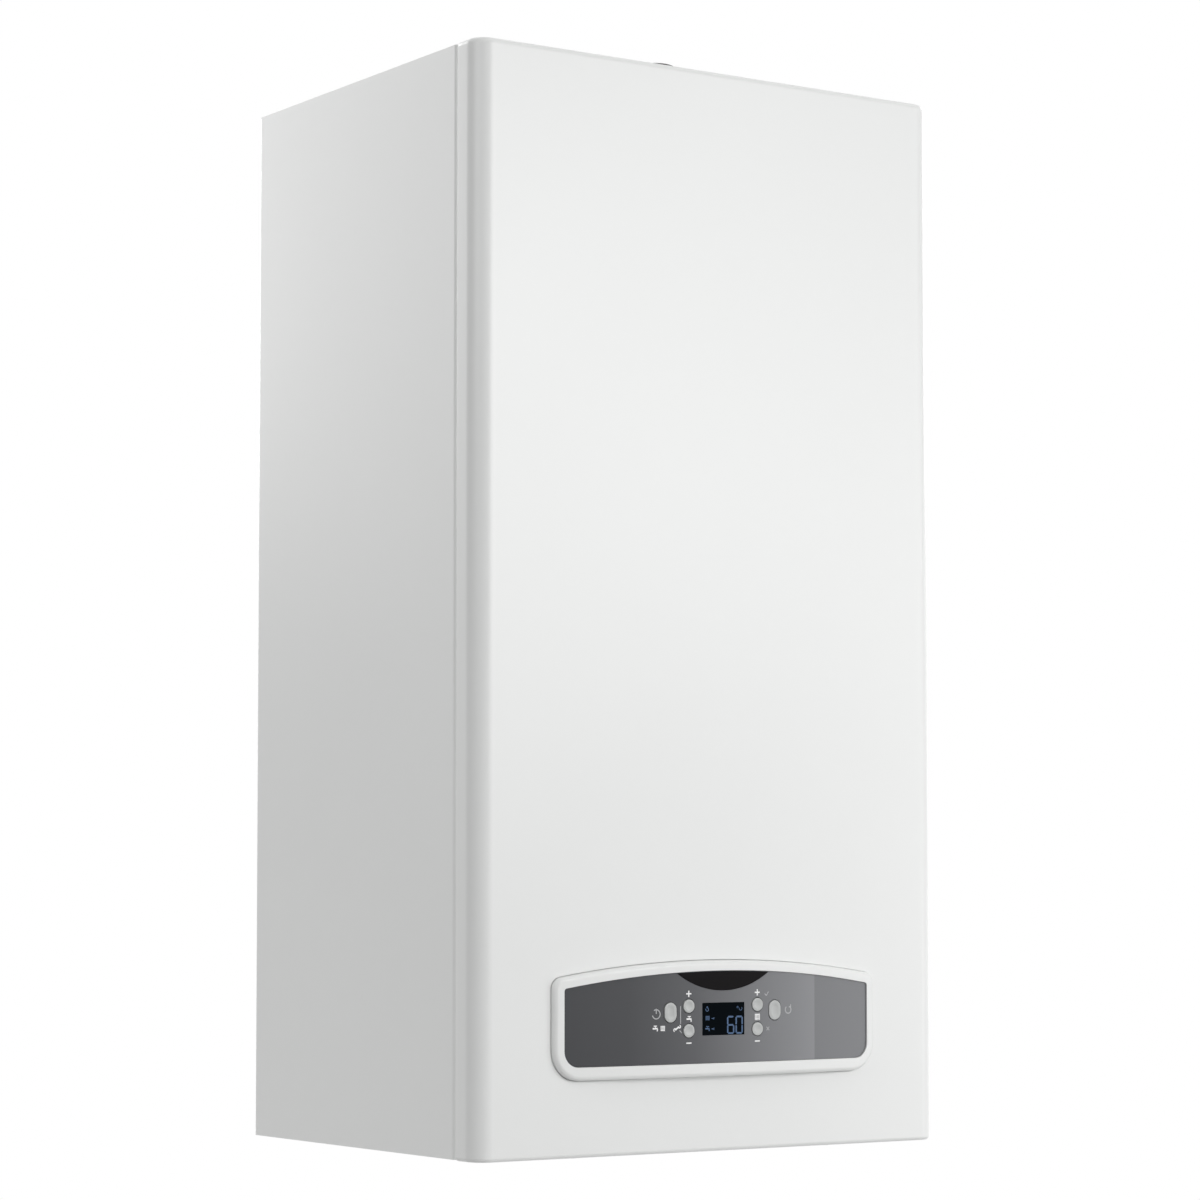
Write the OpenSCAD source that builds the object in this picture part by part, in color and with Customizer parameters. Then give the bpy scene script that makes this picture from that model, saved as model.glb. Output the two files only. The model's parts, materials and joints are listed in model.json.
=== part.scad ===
// Wall-hung gas boiler with a fanned, room-sealed combustion chamber.
// X runs to the right seen from the front, the front faces -Y, the wall is the plane Y = 0 and Z is up.
// The origin lies on the wall, midway between the two slots of the hanging bracket.

/* [Casing] */
// Width over the front casing
casing_w = 400; // [396:1:440]
// Height of the front casing
casing_h = 770; // [765:1:820]
// Depth from the wall to the front face
casing_d = 315; // [313:1:330]
// Thickness of the steel sheet
sheet = 1; // [0.8:0.1:1.2]
// Depth of the front casing's side and top walls
lip_d = 26; // [24:1:28]
// Radius of the two upright front corners
corner_r = 14; // [8:1:18]
// Radius of the upper corners of the front face
top_corner_r = 5.5; // [3:0.5:10]
// Radius of the bend along the top and bottom edges
edge_r = 3; // [2:0.5:5]
// Width of the hem folded inwards round the rear edge of the front casing
hem_w = 9; // [7:1:10]
// Gap between the front casing and the side panels
seam_gap = 0.7; // [0.5:0.1:1.2]
// How far the side panels stand inside the front casing's outline
side_inset = 0.5; // [0.3:0.1:1]
// How far the side panels stop below the top of the front casing
side_drop = 1.5; // [1:0.1:3]
// Radius of the bend at the front edge of the side panels
side_bend_r = 4.5; // [3:0.5:6]

/* [Wall fixing] */
// Height of the fixing slots below the top of the casing
fixing_drop = 70; // [60:1:90]
// Distance between the two fixing slots
fixing_span = 190; // [160:1:220]
// Half width of a fixing slot
fixing_r = 4.5; // [3.5:0.5:5.5]
// Length of a fixing slot
fixing_slot = 20; // [14:1:26]
// Thickness of the hanging bracket
bracket_t = 2; // [1.5:0.1:3]
// Height of the hanging bracket
bracket_h = 32; // [28:1:40]
// Height of the bracket's upturned lips above its top edge
lip_h = 14; // [10:1:18]

/* [Control panel] */
// Distance from the white surround to the side of the casing
bezel_side = 61; // [58:1:65]
// Height of the surround's arched top above the casing's bottom edge
bezel_top = 137; // [134:1:145]
// Height of the surround's bottom edge
bezel_bottom = 53; // [50:1:56]
// Radius of the surround's arched top
bezel_arch_r = 799; // [700:1:950]
// Radius of the surround's lower corners
bezel_foot_r = 21; // [15:1:26]
// Radius of the surround's upper corners
bezel_shoulder_r = 8; // [5:0.5:10]
// Width of the surround at its sides and top
bezel_border = 7.5; // [6:0.5:9]
// Width of the surround along its bottom edge
bezel_sill = 9.5; // [8:0.5:11]
// Radius of the grey facia's lower corners
fascia_foot_r = 11; // [6:1:16]
// How far the surround stands proud of the casing at its middle
bezel_proud = 10; // [8:0.5:12]
// Radius of the gentle bow of the surround and facia, seen from above
bow_r = 2900; // [2400:50:3600]
// How far the facia lies behind the face of the surround
fascia_recess = 1.2; // [0.8:0.1:2]
// Thickness of the facia
fascia_t = 3; // [2.5:0.1:3.5]
// Gap between the surround and the cut-out in the casing
cutout_gap = 1.2; // [1:0.1:2]

/* [Display and buttons] */
// Width of the display window
display_w = 36.3; // [32:0.1:40]
// Height of the display window
display_h = 22.7; // [20:0.1:24]
// Height of the display's middle above the casing's bottom edge
display_z = 93.3; // [92:0.1:96]
// Height of the lowest point of the plain badge plate's curved lower edge
badge_low = 115; // [114:0.5:118]
// Radius of the badge plate's lower edge
badge_arc_r = 68.7; // [60:0.1:90]
// Radius of a round button
button_r = 4.75; // [4:0.05:5]
// Distance of the round buttons from the middle
button_x = 29.75; // [27:0.05:31]
// Height of the two plus buttons
plus_z = 102.7; // [101:0.1:104]
// Height of the two minus buttons
minus_z = 85.5; // [84:0.1:87]
// Width of an oval button
oval_w = 10.3; // [9:0.1:11]
// Height of an oval button
oval_h = 14; // [12:0.5:15]
// Distance of the oval buttons from the middle
oval_x = 45.2; // [43:0.1:50]
// Height of the oval buttons
oval_z = 98.5; // [96:0.5:100]
// Gap between a button and its hole
button_gap = 0.5; // [0.4:0.05:0.7]
// How far a button stands proud of the facia
button_proud = 0.6; // [0.4:0.1:1.2]
// How far a button travels when it is pressed
button_travel = 1.2; // [0.8:0.1:1.5]

/* [Control box] */
// Distance from the tilting control box to the side of the casing
box_side = 50; // [48:1:54]
// Height of the control box's underside above the casing's bottom edge
box_bottom = 14; // [13:0.5:16]
// Height of the control box's top
box_top = 205; // [195:1:215]
// Depth of the control box
box_depth = 71; // [60:1:73]
// Wall of the control box
box_wall = 2.5; // [2:0.1:3]
// Clearance between the control box and the inside of the casing
box_front_gap = 3; // [2:0.5:4]
// Height of the pivot above the casing's bottom edge
pivot_z = 22; // [21:0.5:24]
// Distance of the pivot behind the front face
pivot_depth = 17; // [15:0.5:19]
// Radius of the pivot studs
pivot_r = 3; // [2.5:0.1:3.5]
// Radial clearance of the pivot
pivot_gap = 0.05; // [0.03:0.01:0.1]

/* [Combustion chamber] */
// Distance from the control box up to the sealed chamber
chamber_gap = 70; // [66:1:80]
// Distance from the sealed chamber to the side of the casing
sealed_side = 32; // [31:1:36]
// Distance of the sealed chamber's rear wall from the wall
sealed_back = 76; // [74:1:80]
// Height of the burner with its side plates
burner_h = 109; // [100:1:112]
// Distance between burner blades
blade_pitch = 15.5; // [14:0.1:16]
// Thickness of a burner blade
blade_t = 8; // [6:0.5:9]
// Distance from the combustion chamber to the heating pipes beside it
fire_side = 22; // [20:1:26]
// Height of the heat exchanger
exchanger_h = 70; // [64:1:74]
// Number of heat exchanger fins
fins = 34; // [20:1:40]
// Thickness of a fin
fin_t = 0.8; // [0.6:0.1:1]
// Radius of the exchanger's water tubes
water_tube_r = 9; // [7:0.5:9.5]

/* [Fan and flue] */
// Distance of the flue's axis from the wall
flue_y = 150; // [145:1:155]
// Inner radius of the flue socket
flue_r = 30; // [28:0.5:31]
// Outer radius of the air collar
collar_r = 50; // [46:0.5:52]
// Height of the air collar above its flange
collar_h = 23; // [18:1:24]
// Radius of the fan impeller
impeller_r = 54; // [50:1:56]
// Width of the fan impeller
impeller_w = 34; // [28:1:36]
// Number of impeller blades
impeller_blades = 20; // [12:1:24]
// Running clearance of a shaft in its bearing
shaft_gap = 0.05; // [0.03:0.01:0.1]
// Radius of the combustion test point's cap
test_cap_r = 17; // [14:0.5:18]
// Height of the test point's cap above the casing
test_cap_rise = 19.5; // [18:0.5:22]
// Distance of the test point in front of the flue's axis
test_cap_reach = 89; // [87:1:91]

/* [Water and gas] */
// Distance of the pipe connections from the wall
conn_y = 95; // [92:1:98]
// Distance from the outermost pipe connections to the sides of the control box
conn_side = 20; // [18:1:26]
// Radius of a three-quarter inch pipe thread
thread_34_r = 13.2; // [12.5:0.1:13.5]
// Radius of a half inch pipe thread
thread_12_r = 10.5; // [10:0.1:11]
// Height of the connections' lower ends above the casing's bottom edge
conn_end = 3; // [2:0.5:4]
// Length of the threaded connections
thread_l = 14; // [12:0.5:15]
// Radius of the heating pipes
heating_pipe_r = 9; // [7.5:0.5:9.5]
// Radius of the tap water pipes
water_pipe_r = 7; // [6:0.5:7.5]
// Radius of the circulating pump's motor
pump_r = 42; // [38:1:43]
// Stroke of the diverter valve
diverter_stroke = 7; // [5:0.5:8]
// Distance from the expansion vessel to the side of the casing
vessel_side = 22; // [20:1:35]
// Thickness of the expansion vessel
vessel_t = 66; // [60:1:68]
// Radius of the pressure gauge
gauge_r = 19; // [17:0.5:20]

/* [Hidden] */
$fn = 48;
arc_steps = 8;
far = 1000;
slack = 0.3;
overlap = 0.1;
weld_gap = 0.05;

// Heights below are measured from the casing's bottom edge and lifted into place by raise().
bottom_z = fixing_drop - casing_h;
fixing_z = casing_h - fixing_drop;
half_w = casing_w / 2;
front_y = -casing_d;
lip_back_y = front_y + lip_d;
side_x = half_w - side_inset;
side_front_y = lip_back_y + seam_gap;
side_top = casing_h - side_drop;
bezel_w = casing_w - 2 * bezel_side;
box_half_w = half_w - box_side;
sealed_half_w = half_w - sealed_side;
floor_z = box_top + chamber_gap;

// Hooks of the hanging bracket
hook_x = [26, 62];
hook_half = 12;
hook_gap = 3;

// Rear frame and top plate
frame_t = 1.2;
frame_back_y = -bracket_t - slack;
frame_y = frame_back_y - frame_t;
frame_half_w = sealed_half_w + 16;
plate_t = 1.5;
plate_top = side_top - slack;
plate_bottom = plate_top - plate_t;
panel_back_y = -2;
panel_flange = 22;
panel_top = plate_bottom - 0.2;
window_half_w = frame_half_w - 44;
window_z = [floor_z - 125, floor_z + 45];

// Sealed chamber
rim_y = side_front_y + sheet;
rim_half_w = side_x - 9.5;
sealed_y = -sealed_back;
gasket_t = 2;
cover_y = rim_y - gasket_t;
cover_half_w = side_x - panel_flange - 2;
cover_top = plate_bottom - 15.5;
cover_bottom = floor_z - 7;
rim_bottom = floor_z - 13;
door_half_w = sealed_half_w - 7;
door_bottom = floor_z + 10;
door_top = cover_top - 9;

// Screws
screw_r = 1.5;
screw_head_r = 3.5;
screw_head_t = 2;
screw_gap = 0.1;
cover_screw_x = cover_half_w - 3.5;
cover_screws = [
    for (s = [-1, 1], i = [0:4])
        [s * cover_screw_x, cover_bottom + 12 + i * (cover_top - cover_bottom - 24) / 4]
];
panel_screw_x = side_x - 16;
panel_screws = [for (s = [-1, 1], z = [50, floor_z + 5, casing_h - 40]) [s * panel_screw_x, z]];
casing_screw_x = 110;
casing_screw_y = front_y + 19;
casing_screw_r = 2;
casing_screw_t = 1;
collar_screws = [for (a = [45:90:315]) 55.5 * [cos(a), sin(a)]];

// Lower frame
floor_plate_z = 22;
floor_plate_t = 1.5;
arm_x = box_half_w + 13;
arm_top = 60;
rail_z = sheet + slack;
tab_z = [30, 64];

// Spigots that locate the top of the front casing
spigot_x = half_w - 70;
spigot_z = casing_h - hem_w / 2;
spigot_r = 2.3;
spigot_l = 7;

// Control panel, front to back
bezel_y = front_y - bezel_proud;
box_y = front_y + sheet + box_front_gap;
box_back_y = box_y + box_depth;
floor_plate_front = box_back_y + 50;
fascia_y = bezel_y + fascia_recess;
fascia_gap = 0.2;
fascia_bottom = bezel_bottom + bezel_sill;
fascia_half_w = bezel_w / 2 - bezel_border + 0.5;
fascia_top = bezel_top - bezel_border - 0.5;
fascia_arch_r = bezel_arch_r - bezel_border - 0.5;
fascia_ledge = 5;
badge_margin = 0.4;
badge_t = 1;
aperture_half_w = 85;
aperture_z = [70, 119];
pivot_y = front_y + pivot_depth;
ear_r = pivot_z - box_bottom + 2;
ear_t = 8;

// Boards
board_t = 1.6;
board_y = box_y + box_wall + 5.5;
switch_h = 3.2;
switch_y = board_y - switch_h;
flange_t = 1;
flange_r = button_r + button_gap + 1;
main_board_y = box_back_y - 16;
boss_r = 4;
display_boss = [aperture_half_w + 7, aperture_z[0] + 4, aperture_z[1] - 5];
main_boss = [box_half_w - 26, box_bottom + 30, box_top - 19];

// Fan: its scroll ends just below the plate that closes the chamber
fan_x = 55;
fan_w = 50;
scroll_t = 1.2;
scroll_min = impeller_r + 8;
scroll_max = fan_x + flue_r;
spigot_h = 12;
outlet_top = plate_bottom - 8;
fan_z = outlet_top - spigot_h - scroll_min - 7;
inlet_r = 36;
fan_front = -flue_y - fan_w / 2;
fan_back = -flue_y + fan_w / 2;
shaft_r = 3;
motor_y = fan_front - 58;
flue_wall = 1.2;
switch_p = [38 - sealed_half_w, -110, plate_bottom - 76];

// Second air intake, between the collar and the chamber's side
collar_flange_r = collar_r + 11;
intake_room = sealed_half_w - collar_flange_r;
intake_x = collar_flange_r + 0.57 * intake_room;
intake_r = 0.355 * intake_room;
test_y = -flue_y - test_cap_reach;
test_hole_r = 11;

// Burner, fire chamber, exchanger and hood, stacked from the chamber's floor up to the fan
conn_pitch = (box_half_w - conn_side) / 2;
stack_front = rim_y + 31.3;
stack_rear = sealed_y - 28;
stack_y = (stack_front + stack_rear) / 2;
fire_depth = stack_rear - stack_front;
burner_depth = fire_depth - 22;
exchanger_depth = fire_depth - 12;
fire_half_w = 2 * conn_pitch - fire_side;
exchanger_half_w = fire_half_w - 8;
hood_h = 40;
hood_z = fan_z - scroll_min - (scroll_max - scroll_min) * 2 / 3 - slack - hood_h;
exchanger_z = hood_z - exchanger_h;
burner_z = floor_z + sheet;
fire_z = burner_z + burner_h;
blades = floor((2 * fire_half_w - 24) / blade_pitch);
blade_wall = 1.2;
header_l = 16;
injector_z = burner_z + 40;
manifold_y = rim_y + 25.3;
sight_x = 0;
sight_z = fire_z + 40;
sight_r = 16;

// Hydraulic group
lock_nut_z = [conn_end + thread_l, floor_plate_z];
hex_z = [floor_plate_z + floor_plate_t + 0.5, 48];
hex_34_flat = 15;
hex_12_flat = 12;
hex_34_r = hex_34_flat / cos(30);
hex_12_r = hex_12_flat / cos(30);
flow_x = -2 * conn_pitch;
hot_x = -conn_pitch;
cold_x = conn_pitch;
return_x = 2 * conn_pitch;
wet_bore = 0.68;
pump_y = [-conn_y - 40, 20 - conn_y];
pump_z = 112;
volute_r = 40;
pump_front = box_back_y + 18;
plate_y = [-60, -20];
plate_z = [62, 137];
plate_half_w = conn_pitch + 35;
plates = 12;
plate_round = 12;
heating_port = [conn_pitch + 20, 80];
tap_port_z = 120;
diverter_z = [60, 112];
diverter_half = 22;
diverter_bore_r = 11;
spindle_r = 3;
diverter_top = diverter_z[1] + 14;
gas_valve_y = [box_back_y + 20, box_back_y + 90];
gas_valve_h = 85;
gas_valve_top = floor_z - 40;
gas_valve_z = [gas_valve_top - gas_valve_h, gas_valve_top];
gas_pipe_r = 9;
gas_rise_y = gas_valve_y[0] + 35;
vessel_r = half_w - vessel_side;
vessel_drop = 72;
vessel_z = casing_h - vessel_drop - vessel_r;
vessel_pipe_r = 5;
vessel_wall = 1.5;
vessel_y = frame_y - vessel_t / 2;
vessel_port = [return_x - 18, 130];
gauge_x = -32;
gauge_y = floor_plate_front + 40;
gauge_z = [8, 34];
tap_x = 1.5 * conn_pitch;
tap_r = 8;
safety_y = -conn_y - 43;
safety_r = 10;
relief_r = 7.5;
relief_nut_r = 11;
link_z = 40;
gland_x = 23 - arm_x;
gland_y = floor_plate_front + 40;
gland_r = 9;
gland_bore = 4;

steel_white = [0.96, 0.96, 0.96];
zinc = [0.72, 0.74, 0.76];
dark_plastic = [0.16, 0.17, 0.19];
fascia_grey = [0.40, 0.41, 0.43];
button_grey = [0.71, 0.71, 0.72];
board_green = [0.10, 0.38, 0.22];
copper = [0.80, 0.48, 0.34];
brass = [0.80, 0.66, 0.36];
bare_steel = [0.60, 0.61, 0.62];
aluminium = [0.78, 0.79, 0.80];
fibre = [0.90, 0.88, 0.82];
rubber_black = [0.10, 0.10, 0.11];

// Shapes shared by the pieces

module raise() translate([0, 0, bottom_z]) children();

module block(x, y, z) translate([x[0], y[0], z[0]]) cube([x[1] - x[0], y[1] - y[0], z[1] - z[0]]);

module rod_x(x, y, z, r) translate([x[0], y, z]) rotate([0, 90, 0]) cylinder(h = x[1] - x[0], r = r);

module rod_y(x, y, z, r) translate([x, y[0], z]) rotate([-90, 0, 0]) cylinder(h = y[1] - y[0], r = r);

module rod_z(x, y, z, r) translate([x, y, z[0]]) cylinder(h = z[1] - z[0], r = r);

// A six-sided nut whose flats face left and right
module hex_z_rod(x, y, z, r)
    translate([x, y, z[0]]) rotate([0, 0, 30]) cylinder(h = z[1] - z[0], r = r, $fn = 6);

module both_sides() {
    children();
    mirror([1, 0, 0]) children();
}

// An outline drawn in X and Z, given its thickness along Y
module facing(y) translate([0, y[1], 0]) rotate([90, 0, 0]) linear_extrude(y[1] - y[0]) children();

// An outline drawn in Y and Z, given its thickness along X
module sideways(x) translate([x[0], 0, 0]) rotate([90, 0, 90]) linear_extrude(x[1] - x[0]) children();

function arc(c, r, a0, a1, n) = [for (i = [0:n]) let (a = a0 + (a1 - a0) * i / n) c + r * [cos(a), sin(a)]];

// A rectangle with round corners
module rounded(x, z, r) polygon(concat(
    arc([x[1] - r, z[1] - r], r, 0, 90, arc_steps),
    arc([x[0] + r, z[1] - r], r, 90, 180, arc_steps),
    arc([x[0] + r, z[0] + r], r, 180, 270, arc_steps),
    arc([x[1] - r, z[0] + r], r, 270, 360, arc_steps)
));

function unit(v) = v / norm(v);

module stretch(a, b, r) {
    d = unit(b - a);
    translate(a) rotate([0, acos(d[2]), atan2(d[1], d[0])]) cylinder(h = norm(b - a), r = r);
}

// A quarter bend, or a part of one, from a start point along u and round into v
module elbow(start, u, v, r, bend) {
    n = unit(v - (u * v) * u);
    w = cross(u, n);
    c = start + bend * n;
    multmatrix([
        [-n[0], u[0], w[0], c[0]],
        [-n[1], u[1], w[1], c[1]],
        [-n[2], u[2], w[2], c[2]],
        [0, 0, 0, 1]
    ]) rotate_extrude(angle = acos(u * v)) translate([bend, 0]) circle(r);
}

// A pipe through a row of points, bent round the inner ones
module pipe(points, r, bend) {
    last = len(points) - 1;
    d = [for (i = [0:last - 1]) unit(points[i + 1] - points[i])];
    back = [for (i = [0:last]) i == 0 || i == last ? 0 : bend * tan(acos(d[i - 1] * d[i]) / 2)];
    for (i = [0:last - 1]) stretch(points[i] + back[i] * d[i], points[i + 1] - back[i + 1] * d[i], r);
    for (i = [1:last - 1]) elbow(points[i] - back[i] * d[i - 1], d[i - 1], d[i], r, bend);
}

// The control panel's outline: arched top, upright sides, rounded foot and shoulder
function panel_outline(half, top, arch, bottom, foot, shoulder) =
    let (
        arch_z = top - arch,
        shoulder_z = arch_z + sqrt(pow(arch - shoulder, 2) - pow(half - shoulder, 2)),
        turn = atan2(shoulder_z - arch_z, half - shoulder)
    )
    concat(
        arc([half - foot, bottom + foot], foot, -90, 0, arc_steps),
        arc([half - shoulder, shoulder_z], shoulder, 0, turn, arc_steps),
        arc([0, arch_z], arch, turn + 1.2, 178.8 - turn, 3 * arc_steps),
        arc([shoulder - half, shoulder_z], shoulder, 180 - turn, 180, arc_steps),
        arc([foot - half, bottom + foot], foot, 180, 270, arc_steps)
    );

module bezel_outline(grow)
    polygon(panel_outline(bezel_w / 2 + grow, bezel_top + grow, bezel_arch_r + grow, bezel_bottom - grow,
        bezel_foot_r + grow, bezel_shoulder_r + grow));

module fascia_outline(grow)
    polygon(panel_outline(fascia_half_w + grow, fascia_top + grow, fascia_arch_r + grow, fascia_bottom - grow,
        fascia_foot_r + grow, max(1, 2 + grow)));

// All that lies behind a bowed face whose middle is at y, as far back as the control box
module behind_bow(y, r) {
    half = bezel_w / 2 + 5;
    sweep = asin(half / r);
    linear_extrude(2 * bezel_top) polygon(concat(
        arc([0, y + r], r, 270 - sweep, 270 + sweep, 6 * arc_steps), [[half, box_y + 5], [-half, box_y + 5]]
    ));
}

// Sheet metal

module wall_bracket() color(zinc) raise() {
    z = [fixing_z - bracket_h / 2, fixing_z + bracket_h / 2];
    half = fixing_span / 2 + 32;
    slot_half = fixing_slot / 2 - fixing_r;
    lip_y = [frame_y - hook_gap - bracket_t, frame_y - hook_gap];
    difference() {
        union() {
            block([-half, half], [-bracket_t, 0], z);
            both_sides() for (x = hook_x) {
                block([x - hook_half, x + hook_half], [lip_y[0], -bracket_t], [z[1] - bracket_t, z[1]]);
                block([x - hook_half, x + hook_half], lip_y, [z[1] - bracket_t, z[1] + lip_h]);
            }
        }
        both_sides() for (s = [-1, 1])
            rod_y(fixing_span / 2 + s * slot_half, [-bracket_t - 1, 1], fixing_z, fixing_r);
        both_sides() block([fixing_span / 2 - slot_half, fixing_span / 2 + slot_half],
            [-bracket_t - 1, 1], [fixing_z - fixing_r, fixing_z + fixing_r]);
    }
}

module rear_frame() color(zinc) raise() {
    top = plate_bottom - 0.7;
    hook_z = fixing_z + bracket_h / 2;
    difference() {
        union() {
            block([-frame_half_w, frame_half_w], [frame_y, frame_back_y], [4, top]);
            both_sides() block([frame_half_w - frame_t, frame_half_w], [sealed_y, frame_back_y],
                [arm_top + 4, top]);
            both_sides() rod_y(frame_half_w - 34, [frame_back_y - overlap, 0], 30, 12);
        }
        block([-window_half_w, window_half_w], [frame_y - 1, frame_back_y + 1], window_z);
        both_sides() for (x = hook_x) block([x - hook_half - 2, x + hook_half + 2],
            [frame_y - 1, frame_back_y + 1], [hook_z - bracket_h + 2, hook_z]);
    }
}

// Two arms with their tabs and pivot studs, the front rail and the floor plate, each from its own sheet
module lower_frame() color(zinc) raise() {
    front = pivot_y - 8;
    half = arm_x - weld_gap;
    both_sides() difference() {
        union() {
            block([arm_x, arm_x + floor_plate_t], [front, frame_y], [rail_z, arm_top]);
            block([arm_x, rim_half_w], [rim_y, rim_y + floor_plate_t], tab_z);
            rod_x([box_half_w + 1, arm_x + 1], pivot_y, pivot_z, pivot_r);
        }
        for (p = panel_screws)
            if (p[0] > 0 && p[1] < arm_top) rod_y(p[0], [rim_y - 1, rim_y + 5], p[1], screw_r + screw_gap);
    }
    difference() {
        block([-half, half], [front, front + 17], [rail_z, rail_z + floor_plate_t]);
        both_sides() rod_z(casing_screw_x, casing_screw_y, [0, 10], casing_screw_r + screw_gap);
    }
    difference() {
        block([-half, half], [floor_plate_front, frame_y], [floor_plate_z, floor_plate_z + floor_plate_t]);
        for (x = [flow_x, 0, return_x]) rod_z(x, -conn_y, [0, arm_top], thread_34_r + slack);
        for (x = [hot_x, cold_x]) rod_z(x, -conn_y, [0, arm_top], thread_12_r + slack);
        rod_z(gauge_x, gauge_y, [0, arm_top], gauge_r + slack);
        rod_z(return_x, safety_y, [0, arm_top], relief_r + slack);
        rod_z(tap_x, -conn_y, [0, arm_top], tap_r + slack);
        rod_z(gland_x, gland_y, [0, arm_top], gland_r - 2 + slack);
        for (x = [-90, 10, 90])
            block([x - 14, x + 14], [floor_plate_front + 12, floor_plate_front + 24], [0, arm_top]);
    }
}

module top_plate() color(steel_white) raise() {
    z = [plate_bottom, plate_top];
    side = side_x - sheet - 0.2;
    difference() {
        union() {
            block([-side, side], [side_front_y, frame_y], z);
            both_sides() block([side - sheet, side], [side_front_y + side_bend_r + 1, frame_y - 1],
                [z[0] - 14, z[0]]);
            block([-cover_half_w - 1, cover_half_w + 1], [side_front_y, rim_y], [cover_top + 2, z[0]]);
            both_sides() rod_y(spigot_x, [side_front_y - spigot_l, side_front_y], spigot_z, spigot_r);
        }
        rod_z(0, -flue_y, [z[0] - 1, z[1] + 1], collar_r - 2);
        rod_z(0, test_y, [z[0] - 1, z[1] + 1], test_hole_r);
        rod_z(-intake_x, -flue_y, [z[0] - 1, z[1] + 1], intake_r);
        for (p = collar_screws) rod_z(p[0], p[1] - flue_y, [z[0] - 1, z[1] + 1], screw_r + screw_gap);
    }
}

module side_panel() {
    bend = [side_x - side_bend_r, side_front_y + side_bend_r];
    back = side_x - 14;
    difference() {
        translate([0, 0, 0.7]) linear_extrude(side_top - 0.7) polygon(concat(
            [[back, panel_back_y], [back, panel_back_y - sheet], [side_x - sheet, panel_back_y - sheet]],
            arc(bend, side_bend_r - sheet, 0, -90, arc_steps),
            [[side_x - panel_flange, side_front_y + sheet], [side_x - panel_flange, side_front_y]],
            arc(bend, side_bend_r, -90, 0, arc_steps),
            [[side_x, panel_back_y]]
        ));
        block([back - 1 - panel_flange, side_x - sheet], [front_y, 1], [panel_top, casing_h]);
        for (p = panel_screws)
            if (p[0] > 0) rod_y(p[0], [side_front_y - 1, rim_y + 1], p[1], screw_r + screw_gap);
    }
}

module side_panel_right() color(steel_white) raise() side_panel();

module side_panel_left() color(steel_white) raise() mirror([1, 0, 0]) side_panel();

// The front casing's outer form drawn in by a distance, and reaching back to y
module casing_form(inset, back) {
    x = half_w - inset;
    y = front_y + inset;
    z = [inset, casing_h - inset];
    round = corner_r - inset;
    top = top_corner_r - inset;
    edge = edge_r - inset;
    intersection() {
        linear_extrude(casing_h) polygon(concat(
            [[x, back]], arc([x - round, y + round], round, 0, -90, arc_steps),
            arc([round - x, y + round], round, -90, -180, arc_steps), [[-x, back]]
        ));
        facing([front_y, back]) polygon(concat(
            [[-x, z[0]], [x, z[0]]], arc([x - top, z[1] - top], top, 0, 90, arc_steps),
            arc([top - x, z[1] - top], top, 90, 180, arc_steps)
        ));
        sideways([-half_w, half_w]) polygon(concat(
            [[back, z[0]], [back, z[1]]], arc([y + edge, z[1] - edge], edge, 90, 180, arc_steps / 2),
            arc([y + edge, z[0] + edge], edge, 180, 270, arc_steps / 2)
        ));
    }
}

module front_casing() color(steel_white) raise() difference() {
    casing_form(0, lip_back_y);
    casing_form(sheet, lip_back_y - sheet);
    block([hem_w - half_w, half_w - hem_w], [lip_back_y - sheet - 1, lip_back_y + 1],
        [sheet, casing_h - hem_w]);
    facing([front_y - 1, front_y + sheet + 1]) bezel_outline(cutout_gap);
    both_sides() rod_y(spigot_x, [lip_back_y - sheet - 1, lip_back_y + 1], spigot_z, spigot_r + slack);
    both_sides() {
        rod_z(casing_screw_x, casing_screw_y, [-1, sheet + 1], casing_screw_r + 0.75);
        block([casing_screw_x - casing_screw_r - 0.75, casing_screw_x + casing_screw_r + 0.75],
            [casing_screw_y, lip_back_y + 1], [-1, sheet + 1]);
    }
}

// A pan-head screw whose head's underside is at y, pointing away from the front
module screw_y(x, y, z, l) {
    rod_y(x, [y, y + l], z, screw_r);
    rod_y(x, [y - screw_head_t, y], z, screw_head_r);
}

module sheet_metal_screws() color(zinc) raise() {
    for (p = cover_screws) screw_y(p[0], cover_y - sheet, p[1], gasket_t + 2 * sheet + 3);
    for (p = panel_screws) screw_y(p[0], side_front_y, p[1], 6);
    both_sides() {
        rod_z(casing_screw_x, casing_screw_y, [-slack, rail_z + floor_plate_t + 2], casing_screw_r);
        rod_z(casing_screw_x, casing_screw_y, [-slack - casing_screw_t, -slack], 2 * casing_screw_r);
    }
    for (p = collar_screws) {
        rod_z(p[0], p[1] - flue_y, [plate_bottom - 3, plate_top + 2], screw_r);
        rod_z(p[0], p[1] - flue_y, [plate_top + 2, plate_top + 2 + screw_head_t], screw_head_r);
    }
}

// Control box and what it carries

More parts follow.
